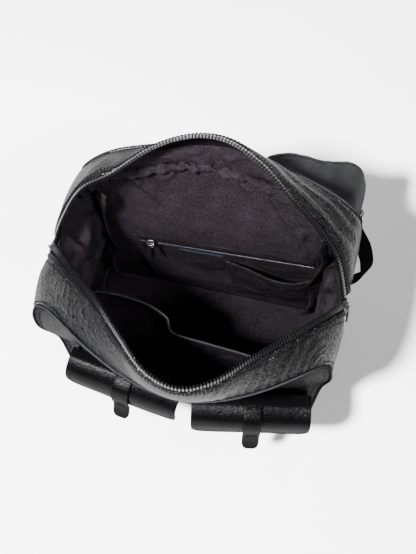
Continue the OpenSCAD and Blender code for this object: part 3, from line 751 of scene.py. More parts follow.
def front_band_relief(u, v, p):
    """The front band is squeezed into arcs on the right, where the lip turns back, and gathered by the
    left end."""
    edge = ease(v * 9) * ease((1 - v) * 7)
    swell = rough(p, 55, 4) * 1.8 + rough(p, 20, 4) * 0.6
    bend = (p - Vector((140, -84, 322))).length / 58
    folded = ease((u - 0.56) / 0.1) * ease((0.95 - u) / 0.08)
    rings = ripple(bend * 34 + rough(p, 30, 8) * 2.4) * folded
    left = ripple(p.y / 5.5 + p.x / 9 + rough(p, 26, 2) * 3)
    left = left * ease((0.3 - u) / 0.12) * ease((u - 0.04) / 0.05)
    return edge * (swell + 0.3 * rings + 0.35 * left) + turned_edge(v)


def back_band_relief(u, v, p):
    """The back band is folded lengthwise on the right and smooth on the left. u runs from right to left."""
    edge = ease(v * 9) * ease((1 - v) * 7)
    swell = rough(p, 60, 5) * 1.6 + rough(p, 24, 5) * 0.5
    right = ease((0.46 - u) / 0.14) * ease((u - 0.03) / 0.06)
    long_folds = ripple(v * 17 + u * 9 + rough(p, 42, 7) * 3.2)
    return edge * (swell + 0.8 * right * long_folds) + turned_edge(v)


shell("front_band_leather", band_surface(False, 0.012, 0.89, 280, 64), LEATHER, squeezed, "bag",
      ["front_mouth_band"], relief=front_band_relief, back_relief=0.4)
shell("back_band_leather", band_surface(True, 0.012, 0.89, 280, 64), LEATHER, squeezed, "bag",
      ["back_mouth_band"], relief=back_band_relief, back_relief=0.4)


def piping_route(back, part):
    """Along the mouth bands' seam (part 0) or down a side (part -1 or 1)."""
    y_at = (lambda x, z: back_y(x, z) + 1.2) if back else (lambda x, z: front_y(x, z) - 1.2)
    if part:
        heights = (10, 40, 90, 140, 190, 240, 275, BAND_Z)
        pts = [(part * HALF_W, y_at(part * HALF_W, z), z) for z in heights]
    else:
        pts = [(x, y_at(x, z), z) for x, z in (seam_xz(i / 30) for i in range(31))]
    return resample(pts, 60 if part else 200)


for back, word in ((False, "front"), (True, "back")):
    for part, tag, finish in ((0, "mouth", edge_painted_highlight), (-1, "left", smooth), (1, "right", smooth)):
        route = piping_route(back, part)
        swept(f"{word}_piping_{tag}", route, [Vector((0, 1, 0))] * len(route), oval(2.2, 2.2, 10), finish,
              "bag", [f"{word}_piping"] if part == 0 else ())


# ---------- lining ----------

FOAM = 7
DEEP = INSET
BACK_DEEP = DEEP + FOAM + 1.4


def crumple(seed, low=1.0, high=1.0):
    """Loose cloth: it only ever moves into the bag, with tight little ridges between slack hollows."""
    def relief(u, v, p):
        edge = inside_edges(u, v, 12, 9)
        slack = 0.5 + 0.5 * rough(p, 55, seed)
        ridge = ease(crease((p.x, p.y * 1.3, p.z * 0.8), 44, seed + 1)) + 0.6 * ease(
            crease((p.x * 0.8, p.y, p.z * 1.3), 24, seed + 2))
        amount = low + (high - low) * v
        return -edge * amount * (3.0 * slack + 0.7 * v * ridge)
    return relief


def wall_lining(back):
    def point(u, v):
        z = 9 + (PANEL_H - 6 - 9) * v
        x = (2 * u - 1) * half_at(z, 5.5) * (-1 if back else 1)
        return x, (back_y if back else front_y)(x, z), z
    return surface(point, 110, 100)


shell("front_wall_lining", wall_lining(False), CLOTH, twill, "bag", ["front_lining"], lift=-DEEP,
      relief=crumple(11, 0.6, 1.3), back_relief=1.0, bevel=0)
loose = crumple(12, 0.15, 1.2)

# upper and lower end of each pulled fold, X and Z
LINING_FOLDS = [((-6, 326), (22, 292)), ((12, 324), (46, 280)), ((-44, 322), (-66, 296)),
                ((60, 306), (92, 258)), ((-90, 300), (-70, 262)), ((98, 268), (108, 226))]


def pulled_folds(p):
    """Raised folds that run down from the seam where the cloth is caught."""
    out = 0.0
    for (xa, za), (xb, zb) in LINING_FOLDS:
        dx, dz = xb - xa, zb - za
        t = clamp(((p.x - xa) * dx + (p.z - za) * dz) / (dx * dx + dz * dz))
        away = math.hypot(p.x - xa - dx * t + 2 * math.sin(t * 7), p.z - za - dz * t)
        crest, hollow = math.exp(-(away / 4) ** 2), math.exp(-((away - 8) / 4) ** 2)
        out += (1 - t) ** 0.6 * (6.0 * crest - 1.6 * hollow)
    return out


# the inner zip: its middle and its tilt
INNER_X, INNER_Y, INNER_Z = 14, 57.4, 186
TILT = math.radians(8)


def lining_ledge(u, v, p):
    """The lining bags out to the inner zip, whose line it overhangs."""
    up = (p.z - INNER_Z) * math.cos(TILT) - (p.x - INNER_X) * math.sin(TILT)
    width = ease((118 - abs(p.x - INNER_X)) / 20)
    return loose(u, v, p) - pulled_folds(p) - 9.6 * width * ease((up - 1) / 9) * ease((120 - up) / 105)


shell("back_wall_lining", wall_lining(True), CLOTH, twill, "bag", ["back_lining"], lift=-BACK_DEEP,
      relief=lining_ledge, back_relief=1.0, bevel=0)


def collapsed(side):
    """The end linings slump into shelves and pleats under the zip's ends."""
    slack_part = crumple(13 + side, 0.9, 1.6)

    def relief(u, v, p):
        edge = ease(min(u, 1 - u) * 9) * ease((1 - v) * 7)
        shelf = ease((v - 0.3) / 0.22) * (7 + 5 * rough(p, 40, 15 + side))
        pleat = ripple(v * 24 + p.y / 16 + rough(p, 36, 16 + side) * 4, 1.6)
        return slack_part(u, v, p) - edge * (shelf + 6.5 * ease((v - 0.4) / 0.2) * max(pleat, -0.4))
    return relief


for side, word in ((-1, "left"), (1, "right")):
    shell(f"side_wall_lining_{word}", [row[4:] for row in side_surface(side, 80, 130)], CLOTH, twill, "bag",
          [f"side_lining_{word}"], lift=-DEEP, relief=collapsed(side), back_relief=1.0, bevel=0)
for back, word in ((False, "front"), (True, "back")):
    shell(f"{word}_band_facing", band_surface(back, 0.03, 0.9, 180, 30), CLOTH, twill, "bag",
          [f"{word}_band_lining"], lift=-DEEP, relief=crumple(17 + back, 0.9, 0.5), back_relief=1.0, bevel=0)


def facing_join(u, v):
    """Cloth that bridges the back lining and the back band's facing, swagged between them."""
    q = 1 - u
    x, z = seam_xz(q)
    k = 1 - 9 / max(math.hypot(x, max(z - 150, 1)), 9)
    low = Vector((x * k, back_y(x, z) - BACK_DEEP - 0.6, 150 + (z - 150) * k - 3))
    a, b = band(True, clamp(q + 0.004), 0.2), band(True, clamp(q - 0.004), 0.2)
    out = (a - b).cross(band(True, q, 0.24) - band(True, q, 0.16)).normalized()
    high = band(True, q, 0.2) - out * (DEEP + 2.0) * (1 if out.y > 0 else -1)
    return low.lerp(high, v) - Vector((0, 1, 0.2)) * (7.5 * math.sin(math.pi * v) ** 0.7)


shell("back_facing_seam", surface(facing_join, 220, 16), CLOTH, twill, "bag",
      relief=lambda u, v, p: 2.0 * rough(p, 14, 23) - 2.4 * ease(crease(p, 20, 24)),
      back_relief=1.0, bevel=0)
roll = [facing_join(0.05 + 0.9 * i / 260, 0.0) - Vector((0, 11.0 + 3.0 * rough((i * 3.3, 0, 0), 26, 25), 0))
        for i in range(261)]
swept("facing_seam_roll", roll, [Vector((0, 1, 0.6))] * 261, oval(15, 10, 18, 2.2), twill, "bag",
      widths=[0.8 + 0.5 * rough((i * 3.3, 5, 0), 17, 26) for i in range(261)],
      relief=lambda u, v, p: 2.6 * rough(p, 12, 27) - 1.8 * ease(crease(p, 16, 28)))


def floor_point(u, v):
    across = 2 * u - 1
    z = 6.8 + 1.5 * (0.5 + 0.5 * rough((across * 140, v * 130, 0), 40, 21))
    return across * (HALF_W - 9.5), (1 - 2 * v) * -(HALF_D - 9.5), z


shell("floor_lining", surface(floor_point, 60, 36), CLOTH, twill_painted_shade, "bag", ["base_lining"], bevel=0)


# ---------- main zip ----------

for back, word in ((False, "front"), (True, "back")):
    shell(f"{word}_tape", band_surface(back, 0.85, 0.962, 220, 8), 0.9, tape_cloth, "bag",
          [f"{word}_zip_tape"], lift=-0.7, bevel=0)


def surface_line(back, s, lift, n=260, q0=0.0, q1=1.0):
    """Path along a mouth band at share s, with the band's own outward direction."""
    path = []
    for i in range(n + 1):
        q = q0 + (q1 - q0) * i / n
        q = 1 - q if back else q
        p = band(back, q, s)
        a = band(back, clamp(q + 0.004), s) - band(back, clamp(q - 0.004), s)
        b = band(back, q, min(s + 0.02, 1)) - band(back, q, s - 0.02)
        out = a.cross(b).normalized() * (-1 if back else 1)
        path.append((p + out * lift, out))
    return path


CHAIN = 34


def bit_rows_on_chain(side, back):
    """Straight run of the closed chain below a mouth end, for the teeth of one half."""
    o, (ex, ez) = mouth_end(side), chain_axes(side)
    off = Vector((0, 2.35 if back else -2.35, 0))
    ends = [o + ez * -CHAIN + off, o + off]
    if (side > 0) != back:
        ends.reverse()
    return [(ends[0].lerp(ends[1], k / 20), ex) for k in range(21)]


def chain_axes(side):
    """Outward and upward direction of the closed chain below a mouth end."""
    lean = math.radians(2)
    return (Vector((side * math.cos(lean), 0, -math.sin(lean))),
            Vector((side * math.sin(lean), 0, math.cos(lean))))


for back, word in ((False, "front"), (True, "back")):
    rows(f"{word}_teeth", [surface_line(back, 0.975, -1.1, 320, 0.006, 0.994),
                           bit_rows_on_chain(-1, back), bit_rows_on_chain(1, back)],
         tooth_bit, 3.3, nickel, "bag", [f"{word}_zip_teeth"], shade_smooth=False)
    for side, tag in ((-1, "left"), (1, "right")):
        o, (ex, ez) = mouth_end(side), chain_axes(side)
        sign = 1 if back else -1
        inner, outer = 4.0, 9.5
        grid = [[o + ez * (-CHAIN + CHAIN * i / 12) + Vector((0, sign * (inner + (outer - inner) * j / 3), 0))
                 + ex * 0.45 for j in range(4)] for i in range(13)]
        if side * sign > 0:
            grid = [row[::-1] for row in grid]
        shell(f"{word}_closed_tape_{tag}", grid, 0.9, tape_cloth, "bag", bevel=0)


def stitches(name, paths, body="bag", bit=None, pitch=3.9):
    return rows(name, paths, bit or stitch_bit, pitch, thread, body)


def edge_line(point, fixed_u=None, fixed_v=None, lift=0.2, n=160, a=0.0, b=1.0):
    """Path along a constant share of a surface point(u, v), with its outward normal."""
    path = []
    for i in range(n + 1):
        t = a + (b - a) * i / n
        u, v = (fixed_u, t) if fixed_u is not None else (t, fixed_v)
        e = 0.004
        u0, u1, v0, v1 = max(u - e, 0), min(u + e, 1), max(v - e, 0), min(v + e, 1)
        du, dv = Vector(point(u1, v)) - Vector(point(u0, v)), Vector(point(u, v1)) - Vector(point(u, v0))
        out = du.cross(dv).normalized()
        path.append((Vector(point(u, v)) + out * lift, out))
    return path


stitches("mouth_topstitching", [surface_line(back, share, lift) for back in (False, True)
                                for share, lift in ((0.855, 1.15), (0.825, 1.2), (0.74, 0.3), (0.07, 0.3))])


def inset_panel_line(back, inset=6.0):
    """Up one side of a panel, over its top and down the other side, a little way in from its edge."""
    y_of = back_y if back else front_y
    climb = range(14, int(ARC_Z), 12)
    r = CORNER_R - inset

    def corner(side, from_angle):
        turns = [from_angle - i / 40 * math.pi / 2 for i in range(41)]
        return [(side * (HALF_W - CORNER_R) + r * math.cos(a), ARC_Z + r * math.sin(a)) for a in turns]
    flat_pts = [(-(HALF_W - inset), z) for z in climb] + corner(-1, math.pi)
    flat_pts += [(x, PANEL_H - inset) for x in range(-90, 91, 15)] + corner(1, math.pi / 2)
    flat_pts += [(HALF_W - inset, z) for z in reversed(climb)]
    pts = []
    for x, z in flat_pts:
        p = Vector((x, y_of(x, z), z))
        dx = Vector((1, (y_of(x + 1, z) - y_of(x - 1, z)) / 2, 0))
        dz = Vector((0, (y_of(x, z + 1) - y_of(x, z - 1)) / 2, 1))
        out = dx.cross(dz).normalized() * (-1 if back else 1)
        pts.append((p + out * 0.25, out))
    return pts


stitches("panel_topstitching", [inset_panel_line(False), inset_panel_line(True)])


# ---------- sliders, pullers and other metal ----------

def plate(name, outline, thick, material, body, nodes=(), place=None, holes=(), bevel=0.35):
    """Flat metal or leather piece: an outline in its own X and Y, thick along Z, with rounded edges."""
    bm = bmesh.new()
    lower = [bm.verts.new((x / 1000, y / 1000, -thick / 2000)) for x, y in outline]
    bm.faces.new(lower)
    loops = [lower]
    for hole in holes:
        ring = [bm.verts.new((x / 1000, y / 1000, -thick / 2000)) for x, y in hole]
        loops.append(ring)
    if holes:
        bmesh.ops.delete(bm, geom=list(bm.faces), context="FACES_ONLY")
        for ring in loops[1:]:
            for i, v in enumerate(ring):
                bm.edges.new((v, ring[(i + 1) % len(ring)]))
        bmesh.ops.triangle_fill(bm, use_beauty=True, edges=list(bm.edges))
    grown = bmesh.ops.extrude_face_region(bm, geom=list(bm.faces))
    moved = [g for g in grown["geom"] if isinstance(g, bmesh.types.BMVert)]
    bmesh.ops.translate(bm, verts=moved, vec=(0, 0, thick / 1000))
    bmesh.ops.recalc_face_normals(bm, faces=list(bm.faces))
    mesh = bpy.data.meshes.new(name)
    bm.to_mesh(mesh)
    bm.free()
    if place:
        mesh.transform(place)
    mesh.materials.append(material)
    piece = linked(name, mesh)
    rounded(piece, bevel, 40)
    return settle(piece, body, nodes)


def rounded_box(w, h, r, n=6):
    out = []
    for cx, cy, a0 in ((w / 2 - r, h / 2 - r, 0), (r - w / 2, h / 2 - r, 90), (r - w / 2, r - h / 2, 180),
                       (w / 2 - r, r - h / 2, 270)):
        for i in range(n + 1):
            a = math.radians(a0 + 90 * i / n)
            out.append((cx + r * math.cos(a), cy + r * math.sin(a)))
    return out


def basis(origin, x, y, z):
    """Matrix that takes millimetre-drawn metres from own axes to the given ones, origin in millimetres."""
    m = Matrix((x, y, z)).transposed().to_4x4()
    m.translation = Vector(origin) / 1000
    return m


def wire(name, pts, r, material, body, nodes=(), closed=False, sides=10):
    """Round bar through points in millimetres."""
    n = len(pts)
    rings = []
    turns = [2 * math.pi * k / sides for k in range(sides)]
    up = Vector((0.13, 0.21, 0.97))
    for i in range(n):
        a = pts[(i - 1) % n] if closed or i else pts[0]
        b = pts[(i + 1) % n] if closed or i < n - 1 else pts[-1]
        t = (b - a).normalized()
        side = t.cross(up if abs(t.dot(up)) < 0.98 else Vector((1, 0, 0))).normalized()
        top = side.cross(t)
        rings.append([pts[i] + side * (r * math.cos(turn)) + top * (r * math.sin(turn)) for turn in turns])
    verts = [p for ring in rings for p in ring]
    faces = []
    for i in range(n if closed else n - 1):
        j = (i + 1) % n
        for k in range(sides):
            q = (k + 1) % sides
            faces.append((i * sides + k, j * sides + k, j * sides + q, i * sides + q))
    if not closed:
        faces += [tuple(range(sides)), tuple((n - 1) * sides + k for k in range(sides - 1, -1, -1))]
    piece = new_piece(name, verts, faces, material)
    bm = bmesh.new()
    bm.from_mesh(piece.data)
    bmesh.ops.recalc_face_normals(bm, faces=list(bm.faces))
    bm.to_mesh(piece.data)
    bm.free()
    return settle(piece, body, nodes)


def join_pieces(name, parts, body, nodes=()):
    """One plain mesh of several finished pieces of one body."""
    depsgraph = bpy.context.evaluated_depsgraph_get()
    bm = bmesh.new()
    materials = []
    for part in parts:
        mesh = bpy.data.meshes.new_from_object(part.evaluated_get(depsgraph))
        base = len(materials)
        for m in mesh.materials:
            materials.append(m)
        for face in mesh.polygons:
            face.material_index += base
        bm.from_mesh(mesh)
        bpy.data.meshes.remove(mesh)
    mesh = bpy.data.meshes.new(name)
    bm.to_mesh(mesh)
    bm.free()
    unique = []
    remap = []
    for m in materials:
        if m not in unique:
            unique.append(m)
        remap.append(unique.index(m))
    for face in mesh.polygons:
        face.material_index = remap[face.material_index]
    for m in unique:
        mesh.materials.append(m)
    piece = linked(name, mesh)
    for part in parts:
        bpy.data.objects.remove(part, do_unlink=True)
    return settle(piece, body, nodes)


SLIDER_HALF = [(-6, -2.6), (-5.2, -4.2), (-2, -5), (3.2, -5), (5.4, -3.8), (6, -1.6)]
SLIDER_OUTLINE = SLIDER_HALF + [(x, -y) for x, y in reversed(SLIDER_HALF)]


def slider(tag, body, m, nodes):
    """A zip slider drawn along its own X (open end at +X), its face out along Z; m places it."""
    def at(x, z):
        return m @ Matrix.Translation((x / 1000, 0, z / 1000))
    front = plate(f"{tag}_front", SLIDER_OUTLINE, 1.3, nickel, None, place=at(0, 2.2), bevel=0.5)
    rear = plate(f"{tag}_rear", SLIDER_OUTLINE, 1.2, nickel, None, place=at(0, -2.2), bevel=0.4)
    post = plate(f"{tag}_post", rounded_box(2.6, 1.0, 0.4), 3.4, nickel, None, place=at(3.5, 0), bevel=0.15)
    arch = [(-4.3, 0, 2.4), (-4.4, 0, 4.2), (-3.6, 0, 5.9), (-1.4, 0, 6.6), (1.4, 0, 6.5), (3.0, 0, 5.3),
            (3.3, 0, 2.4)]
    bail = wire(f"{tag}_bail", local_points(m, resample(arch, 24)), 0.9, nickel, None)
    return join_pieces(tag, [front, rear, post, bail], body, nodes)


def local_points(m, pts):
    return [(m @ (Vector(p) / 1000)) * 1000 for p in pts]


def puller(tag, body, m, nodes, drop, tab_w, tab_material):
    """A wire stirrup through the bail and a tab on it. Own X across, Z out, hanging along -Y from the pin."""
    stops = [(-4.2, 0, 0), (-4.5, -4.3, 0), (-4.2, -8.4, 0), (0, -9.6, 0), (4.2, -8.4, 0), (4.5, -4.3, 0),
             (4.2, 0, 0), (0, 0.5, 0)]
    loop = [on_curve(stops + stops[:1], i / 48) for i in range(48)]
    stirrup = wire(f"{tag}_stirrup", local_points(m, loop), 0.75, nickel, None, closed=True)
    # the tab leans out from the bag on its way down
    route = local_points(m, [(0, -8.2 - (drop - 8.2) * i / 18, 0.9 + 0.5 * math.sin(i / 6) + 0.3 * i)
                             for i in range(19)])
    across = m.to_3x3() @ Vector((1, 0, 0))
    share = [0.62 + 0.38 * ease(i / 5) for i in range(14)]
    share += [math.sqrt(max(1 - ((i - 13.5) / 4.7) ** 2, 0.12)) for i in range(14, 19)]
    tab = swept(f"{tag}_tab", route, [across] * 19, oval(tab_w, 1.9, 20, 5), tab_material, None, widths=share)
    return join_pieces(tag, [stirrup, tab], body, nodes)


for side, word in ((-1, "left"), (1, "right")):
    o, (ex, ez) = mouth_end(side), chain_axes(side)
    slider(f"mouth_slider_{word}", f"slider_{word}", basis(o + ez * -9, ez, ex.cross(ez), ex),
           [f"slider_{word}"])
    pin = o + ex * 4.25 + ez * -8.8
    puller(f"mouth_puller_{word}", f"puller_{word}", basis(pin, ez.cross(ex), ez, ex), [f"puller_{word}"],
           45, 10, smooth)
    swept(f"zip_end_tab_{word}", [o + ex * 2.1 + ez * (-50 + 19 * i / 12) for i in range(13)],
          [Vector((0, 1, 0))] * 13, oval(22, 2.4, 24, 6), pebbled, "bag", [f"zip_end_{word}"],
          relief=uneven(0.15, 8))
    swept(f"zip_end_tab_rear_{word}", [o - ex * 1.2 + ez * (-50 + 17 * i / 12) for i in range(13)],
          [Vector((0, 1, 0))] * 13, oval(22, 1.8, 24, 6), pebbled, "bag")
    frame_of_tab = basis(o + ex * 3.4 + ez * -40, ez.cross(ex), ez, ex)
    box = [(-9, -8, 0), (9, -8, 0), (9, 7, 0), (-9, 7, 0), (-9, -8, 0)]
    stitches(f"zip_end_stitching_{word}", [[(p, ex) for p in local_points(frame_of_tab, box)]],
             bit=fine_stitch_bit, pitch=3.0)


# ---------- pockets on the back wall ----------

INNER = basis((INNER_X, INNER_Y, INNER_Z), Vector((math.cos(TILT), 0, math.sin(TILT))), Vector((0, 1, 0)),
              Vector((-math.sin(TILT), 0, math.cos(TILT))))
INNER_OUT = Vector((0, -1, 0))


def inner_path(pts):
    """Path for a row of bits on the back wall pockets' plane."""
    return [(p, INNER_OUT) for p in local_points(INNER, pts)]


def inner_grid(x0, x1, z0, z1, nu, nv, y=lambda x, z: 0.0):
    """Grid on the back wall pockets' own plane; its good side looks into the bag."""
    def point(u, v):
        x, z = x0 + (x1 - x0) * u, z0 + (z1 - z0) * v
        return (INNER @ (Vector((x, y(x, z), z)) / 1000)) * 1000
    return surface(point, nu, nv)


def slack(seed, amount, size=30):
    def relief(u, v, p):
        edge = inside_edges(u, v, 10, 8)
        return edge * amount * (rough(p, size, seed) + 0.8 * ease(crease(p, size, seed + 1)))
    return relief


shell("inner_tape_upper", inner_grid(-109, 109, 3.4, 12.5, 60, 3), 0.8, tape_cloth, "bag",
      ["inner_zip_tape"], bevel=0)
shell("inner_tape_lower", inner_grid(-109, 109, -9.2, -3.4, 60, 3), 0.8, tape_cloth, "bag", bevel=0)
for name, z0, z1 in (("upper", 5.2, 14.5), ("lower", -9.5, -5.2)):
    shell(f"inner_zip_welt_{name}", inner_grid(-110, 110, z0, z1, 120, 4, lambda x, z: -1.0), 1.0, twill,
          "bag", relief=uneven(0.35, 18, 31))
for name, x0 in (("left", -110), ("right", 103.5)):
    shell(f"inner_zip_welt_{name}", inner_grid(x0, x0 + 6.5, -5.2, 5.2, 3, 6, lambda x, z: -1.0), 1.0, twill,
          "bag")
rows("inner_teeth",
     [inner_path([(x, 0.1, 2.3 * s) for x in range(-102 * s, 103 * s, 3 * s)]) for s in (-1, 1)],
     small_tooth_bit, 2.1, nickel, "bag", ["inner_zip_teeth"], shade_smooth=False)
ends = ((-107, 7.4, 107, 7.4), (-107, -7.4, 107, -7.4), (-107, -7.4, -107, 7.4), (107, -7.4, 107, 7.4))
stitches("inner_zip_stitching", [inner_path([(xa, -2.1, za), (xb, -2.1, zb)]) for xa, za, xb, zb in ends],
         bit=fine_stitch_bit, pitch=3.2)

inner_x, inner_y, inner_z = (INNER.to_3x3() @ Vector(a) for a in ((1, 0, 0), (0, 1, 0), (0, 0, 1)))
slider_at, pin = local_points(INNER, [(-89, 0, 0), (-89, -4.25, -0.2)])
slider("pocket_slider", "slider_inner", basis(slider_at, inner_x, inner_z, -inner_y), ["inner_slider"])
puller("pocket_puller", "puller_inner", basis(pin, inner_x, inner_z, -inner_y), ["inner_puller"], 27, 4.5,
       nickel)


def recess(x, z):
    """The pocket's cloth falls back behind the zip's ledge."""
    return 6.0 * ease((-9 - z) / 2) * ease((z + 125) / 40) * ease((110 - abs(x)) / 12)


shell("zip_pocket_cloth", inner_grid(-110, 110, -125, -9, 90, 110, lambda x, z: -0.6 + recess(x, z)), 1.0,
      twill_painted_shade, "bag", ["inner_pocket_bag"], relief=slack(33, 1.0, 34), back_relief=1.0, bevel=0)
stitches("zip_pocket_stitching", [inner_path([(-107, -1.2, -122), (107, -1.2, -122)])], bit=fine_stitch_bit,
         pitch=3.2)


def sleeve_y(x, z):
    u, v = clamp((x + 4) / 116), clamp((z + 138) / 108)
    return -1.4 - 15 * math.sin(math.pi * u ** 1.5) * math.sin(math.pi / 2 * v) ** 0.7


shell("sleeve_cloth", inner_grid(-4, 112, -138, -30, 80, 70, sleeve_y), CLOTH, twill_painted_shade, "bag",
      ["sleeve_panel"], relief=slack(35, 1.3, 28), back_relief=1.0, bevel=0)
shell("sleeve_hem", inner_grid(-4, 112, -41, -29.4, 80, 6, lambda x, z: sleeve_y(x, z) - 0.9), 2 * CLOTH,
      twill_painted_shade, "bag",
      relief=uneven(0.4, 16, 36), back_relief=1.0, bevel=0.4)
steps = [-2 + 112 * i / 40 for i in range(41)]
stitches("sleeve_stitching",
         [inner_path([(x, sleeve_y(x, z) - 1.3, z) for x in steps]) for z in (-39, -31.5)],
         bit=fine_stitch_bit, pitch=3.2)

shell("blank_leather_patch", inner_grid(-62, -8, -34, -14, 30, 14, lambda x, z: recess(x, z) - 1.5), 1.4,
      patch_hide, "bag", ["label_patch"], relief=uneven(0.3, 20, 37))
corners = ((-60, -32), (-10, -32), (-10, -16), (-60, -16), (-60, -32))
stitches("patch_stitching", [inner_path([(x, recess(x, z) - 1.6, z) for x, z in corners])],
         bit=fine_stitch_bit, pitch=2.6)


# ---------- organizer on the front wall ----------

# its top edge seen from above
ORGANIZER = [(-136, -76, 0), (-112, -38, 0), (-62, -37, 0), (-30, -48, 0), (-19, -61, 0), (25, -65, 0),
             (73, -69, 0), (132, -80, 0)]


def organizer_point(u, v):
    t = on_curve(ORGANIZER, u)
    top = 208 - 12 * ease((u - 0.5) / 0.06)
    z = 34 + top * v
    y0 = front_y(t.x, z) + 7
    return Vector((t.x, y0 + (max(t.y, y0) - y0) * math.sin(math.pi / 2 * v) ** 1.2, z))


def organizer_grid(v0, v1, nu, nv):
    """Good side toward the middle of the bag."""
    return surface(lambda u, v: organizer_point(1 - u, v0 + (v1 - v0) * v), nu, nv)


shell("organizer_cloth", organizer_grid(0, 1, 150, 70), CLOTH, twill_painted_shade, "bag", ["organizer_panel"],
      relief=slack(41, 1.5, 38), back_relief=1.0, bevel=0)
shell("organizer_trim", organizer_grid(0.989, 1.003, 200, 3), 1.8, edge_painted_highlight, "bag", lift=0.9,
      relief=uneven(0.25, 20, 42), bevel=0.7)
stitches("organizer_stitching", [edge_line(lambda u, v: organizer_point(1 - u, v), fixed_v=0.945, lift=1.3,
                                           n=220, a=0.01, b=0.99)], bit=fine_stitch_bit, pitch=3.2)


# ---------- bound seams of the lining ----------

def seam_binding(name, pts, side_dir, width=7.5):
    route = resample(pts, 60)
    swept(name, route, [Vector(side_dir)] * 61, oval(width, 2.6, 16, 3), twill, "bag",
          relief=uneven(0.8, 11, 51))


for side, word in ((-1, "left"), (1, "right")):
    x = side * (HALF_W - 7.5)
    for gap in (0, 7):
        seam_binding(f"rear_corner_binding_{word}_{gap}",
                     [(x - side * (14 + gap + 4 * math.sin(z / 23 + gap)),
                       back_y(x, z) - 20 - gap + 3 * math.sin(z / 17), z) for z in range(30, 311, 20)],
                     (side, 0.8, 0), 8.5)
    seam_binding(f"front_corner_binding_{word}",
                 [(x - side * 6, front_y(x, z) + 9, z) for z in (30, 120, 200, 270)], (side, -0.8, 0))


# ---------- front pockets ----------

POCKET_HALF, POCKET_Z, POCKET_H = 62, 20, 150
FLAP_HALF, FLAP_Z = 66.5, 182
SNAP_Z, SNAP_R = 119, 6.4


def pocket_x(side):
    return side * 70 + 7


def pocket_depth(side):
    return 24 if side < 0 else 29


def pocket_point(side, u, v):
    across_u = 2 * u - 1
    x, z = pocket_x(side) + across_u * POCKET_HALF, POCKET_Z + POCKET_H * v
    across = max(1 - abs(across_u) ** 7, 0) ** (1 / 3)
    up = max(1 - (1 - v / 0.2) ** 4, 0) ** (1 / 2.2) if v < 0.2 else 1 - 0.05 * v * v
    return Vector((x, front_y(x, z) - 0.9 - pocket_depth(side) * across * up, z))


def round_share(t):
    """Share of a span that bunches rows of points at both ends, where the pocket turns hard."""
    return 0.5 - 0.5 * math.cos(math.pi * t)


def pocket_relief(side):
    def relief(u, v, p):
        edge = ease(min(u, 1 - u) * 14) * ease(v * 10) * ease((1 - v) * 20)
        low = ease((0.42 - v) / 0.3)
        gather = ripple(u * 52 + rough(p, 24, 61 + side) * 2.2, 1.2)
        dent = ease(crease((p.x, p.y, p.z * 0.7), 55, 63 + side))
        return edge * (rough(p, 42, 62 + side) * 2.2 - 1.6 * dent + low * 0.5 * gather)
    return relief


for side, word in ((-1, "left"), (1, "right")):
    shell(f"pocket_leather_{word}",
          surface(lambda u, v: pocket_point(side, round_share(u), v ** 1.6), 130, 110), LEATHER, pebbled,
          "bag", [f"pocket_{word}"], relief=pocket_relief(side))
    rim = [pocket_point(side, round_share(0.5 + (i / 90 - 0.5) * 0.86), 1.0) + Vector((0, 0, 0.2))
           for i in range(91)]
    swept(f"pocket_rim_{word}", rim, [Vector((0, 0, 1))] * 91, oval(5, 3.4, 14, 3), smooth, "bag")
    stitches(f"pocket_stitching_{word}",
             [edge_line(lambda u, v: pocket_point(side, u, v), fixed_v=0.955, a=0.04, b=0.96, lift=0.35)],
             bit=fine_stitch_bit, pitch=3.4)


# ---------- flaps with their closing straps ----------

def flap_frame(side):
    """Middle of a flap's seam and the seam's turn about Z."""
    xa, xb = pocket_x(side) - FLAP_HALF, pocket_x(side) + FLAP_HALF
    ya, yb = front_y(xa, FLAP_Z), front_y(xb, FLAP_Z)
    turn = math.atan2(yb - ya, xb - xa)
    root = Vector(((xa + xb) / 2, min((ya + yb) / 2, front_y(pocket_x(side), FLAP_Z)) - 2.2, FLAP_Z))
    return root, turn


def flap_place(side, p):
    root, turn = flap_frame(side)
    c, s = math.cos(turn), math.sin(turn)
    return root + Vector((p[0] * c - p[1] * s, p[0] * s + p[1] * c, p[2]))


def flap_line(d):
    """A flap's middle line from its seam, over a pocket of depth d and down."""
    return [(0, 0, 0), (0, -d * 0.3, 2), (0, -d * 0.62, 2), (0, -d - 1, -4), (0, -d - 6, -14),
            (0, -d - 7, -30), (0, -d - 5, -58)]


def flap_half(v):
    return FLAP_HALF - (14 * (1 - math.sqrt(max(1 - ((v - 0.86) / 0.14) ** 2, 0))) if v > 0.86 else 0)


def flap_point(side, u, v):
    """u runs from the flap's +X edge to its -X edge, v from the seam to the free edge."""
    p = on_curve(flap_line(pocket_depth(side)), v)
    return flap_place(side, ((1 - 2 * u) * flap_half(v), p.y, p.z))


def flap_relief(side):
    def relief(u, v, p):
        free = ease(v * 5)
        sway = rough(p, 60, 71 + side) * 1.5 + rough(p, 22, 72 + side) * 0.35
        bulge = 0.8 * math.sin(math.pi * u) * ease((v - 0.2) / 0.5)
        return free * (sway + bulge)
    return relief


